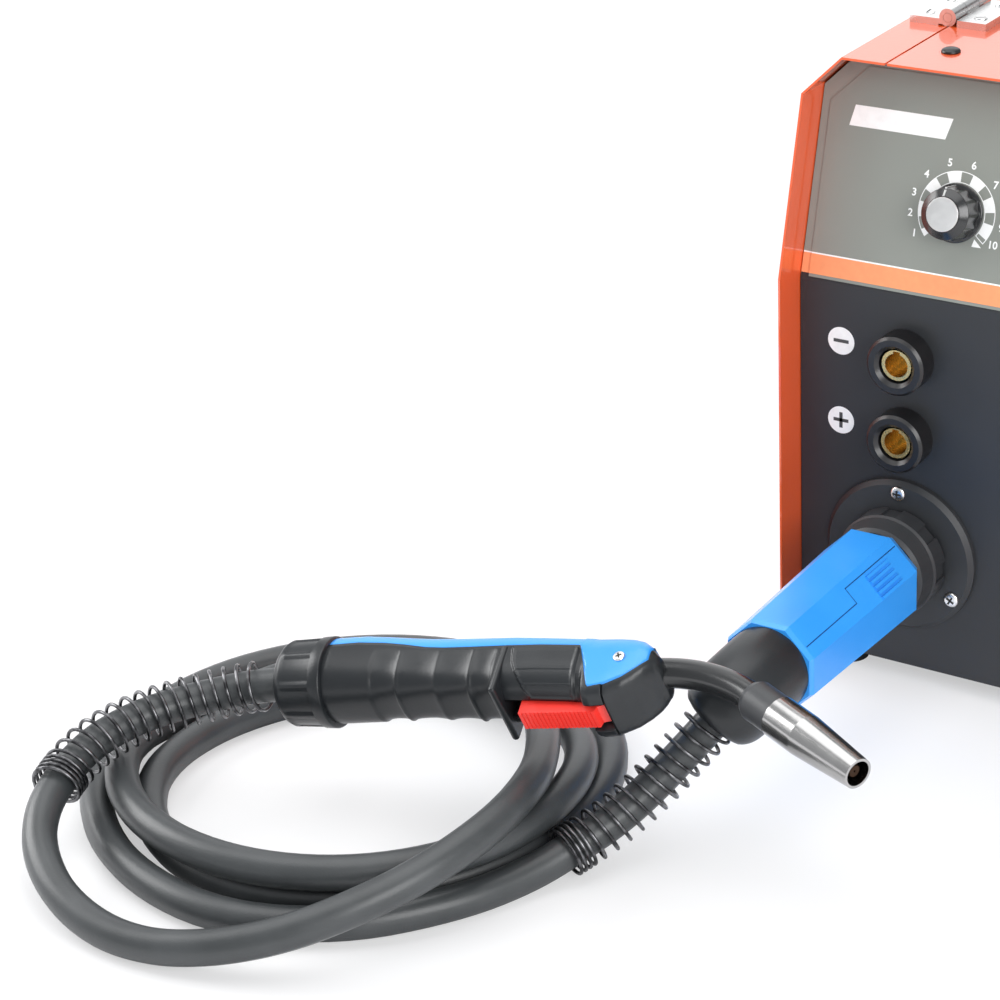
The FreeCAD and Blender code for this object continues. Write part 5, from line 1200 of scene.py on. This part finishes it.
def arc(along, first, last, inset=0.0, fingers=False, plate=False):
    section = station(along)
    ring = []
    for step in range(ARC_STEPS + 1):
        share = step / ARC_STEPS
        angle = first + (last - first) * share
        power = power_at(section, math.cos(angle))
        out = rounded_to(math.cos(angle), power)
        side = rounded_to(math.sin(angle), power)
        dip = inset
        if fingers:
            level = section.middle + section.deep * out
            dip += HOLLOW * hollow(along) * min(max((level + 3.5) / 5, 0), 1)
        if plate:
            dip -= plate_rise(along, share)
        ring.append((section.middle + (section.deep - dip) * out, (section.wide - dip) * side, along))
    return ring


def steps_between(start, end, step=1.0):
    count = round((end - start) / step)
    return [start + (end - start) * index / count for index in range(count + 1)]


def joined(name, shapes, place):
    whole = bmesh.new()
    for shape in shapes:
        part = settled(shape, "part", smooth=True)
        whole.from_mesh(part)
        bpy.data.meshes.remove(part)
    mesh = bpy.data.meshes.new(name)
    bmesh.ops.transform(whole, matrix=place, verts=whole.verts)
    whole.to_mesh(mesh)
    whole.free()
    return mesh


def grip_front():
    rings = []
    for along in steps_between(GRIP_START, GUARD + 1):
        part = split_angle(along)
        rings.append(arc(along, -part, part, fingers=True))
    return lofted(rings)


def trigger_wall(side):
    rings = []
    for along in steps_between(GUARD + 1, SLOT_END, 0.75):
        section = station(along)
        half, level = SLOT_HALF, SLOT_LEVEL
        if along > SCOOP_START:
            half, level = SCOOP_HALF, SCOOP_LEVEL
        slot = math.asin((half / section.wide) ** (section.power / 2))
        part = max(split_angle(along), slot + 0.05)
        ring = arc(along, side * part, side * slot, plate=side < 0)
        ring.append((level, side * SLOT_HALF, along))
        ring.append((SLOT_FLOOR, side * SLOT_HALF, along))
        rings.append(ring)
    return lofted(rings)


def nose():
    whole_turn = 2 * math.pi * ARC_STEPS / (ARC_STEPS + 1)
    rings = [arc(along, 0, whole_turn, 0.5) for along in steps_between(SLOT_END, NOSE_END)]
    middle = station(NOSE_END).middle
    for ahead, share in ((0.9, 0.93), (1.5, 0.8), (1.8, 0.6)):
        level = NOSE_END + ahead
        rings.append([(middle + (x - middle) * share, y * share, level) for x, y, z in rings[-1]])
    return lofted(rings)


# The blue cap is one moulding along the whole handle: a trough that closes over its back
# and, at the head, over both sides
def blue_cap():
    rings = []
    for along in steps_between(GRIP_START, CAP_END):
        part = split_angle(along)
        split = station(along).split
        inner = min(split - 1, -5)
        ring = arc(along, part, 2 * math.pi - part, CAP_INSET if along < HEAD_START else 0.0)
        reach = min(CAP_REACH, abs(ring[0][1]) - 1.5)
        trough = ((split, -reach), (inner, -reach), (inner, reach), (split, reach))
        rings.append(ring + [(level, side, along) for level, side in trough])
    return lofted(rings)


guard = slab([(-5, -20.4), (26, -20.4), (26, 20.4), (-5, 20.4)], GUARD, GUARD + GUARD_THICK, 1.9)
trigger_bed = slab([(-7, -17), (7, -17), (7, 17), (-7, 17)], GUARD, SLOT_END)
front_parts = [grip_front(), guard, trigger_bed, trigger_wall(-1), trigger_wall(1), nose()]
front_mesh = joined("torch_front", front_parts, TORCH_FRAME)
front_shell = piece("torch_front", front_mesh, finish=torch_black)
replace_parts(evened(front_shell), "handle_front_shell")
back_mesh = joined("torch_back", [blue_cap()], TORCH_FRAME)
back_shell = piece("torch_back", back_mesh, finish=bright_blue)
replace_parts(evened(back_shell), "handle_back_shell")
red_resin.paint("torch_trigger")

# Cross-head screw in the blue side of the head
TORCH_SCREW = 0.0031
SIDE_SPOT = (0.0056, -0.0200, 0.2106)
cross_screw("torch_screw", TORCH_SCREW, TORCH_FRAME @ Matrix.Translation(SIDE_SPOT) @ TO_FRONT, 0.4)


# Collar of the torch: a moulded nut with sunk panels between low ribs, and a smooth lip
# toward the handle. Its profile is in millimetres along the torch and out from its axis.
COLLAR_SIDES = 128
COLLAR_PANELS = 8
PANEL_START = 20.0
PANEL_END = 35.0
PANEL_DEPTH = 0.9
RIB_WIDE = 0.16
COLLAR_PROFILE = (
    (12.0, 10.6), (12.0, 17.0), (13.0, 19.0), (15.5, 21.8), (18.0, 23.0), (PANEL_START, 23.0),
    (PANEL_END, 23.6), (36.0, 24.2), (41.5, 24.4), (42.5, 23.6), (42.5, 20.0),
)


def torch_collar():
    rings = []
    for along, reach in COLLAR_PROFILE:
        ring = []
        for step in range(COLLAR_SIDES):
            angle = 2 * math.pi * step / COLLAR_SIDES
            near = abs((angle * COLLAR_PANELS / math.pi + 1) % 2 - 1)
            flat = PANEL_DEPTH if PANEL_START <= along <= PANEL_END and near > RIB_WIDE else 0.0
            ring.append(((reach - flat) * math.cos(angle), (reach - flat) * math.sin(angle), along))
        rings.append(ring)
    return lofted(rings)


collar_mesh = joined("torch_collar_nut", [torch_collar()], TORCH_FRAME)
collar = piece("torch_collar_nut", collar_mesh, finish=torch_black)
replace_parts(evened(collar), "torch_collar")


# Swan neck and nozzle: the neck is a copper tube under a black sleeve, the nozzle a
# chrome-plated copper cone on a black insulating ring. The nozzle's chrome is painted dark: a painted
# reflection of dark surroundings.
moulded("neck_black", (0.010, 0.011, 0.012), 0.2, 200, coat=0.5).paint("swan_neck")
moulded("insulator_grey", (0.035, 0.037, 0.04), 0.35).paint("neck_insulator")
plated("nozzle_chrome_painted_reflection", 0.16, (0.46, 0.455, 0.45)).paint("gas_nozzle")


# The box round the plain solids and the box round the finished model, side by side
visual_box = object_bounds()
corners = {
    "cad": [list(corner) for corner in cad_box],
    "visual": [list(corner) for corner in visual_box],
}
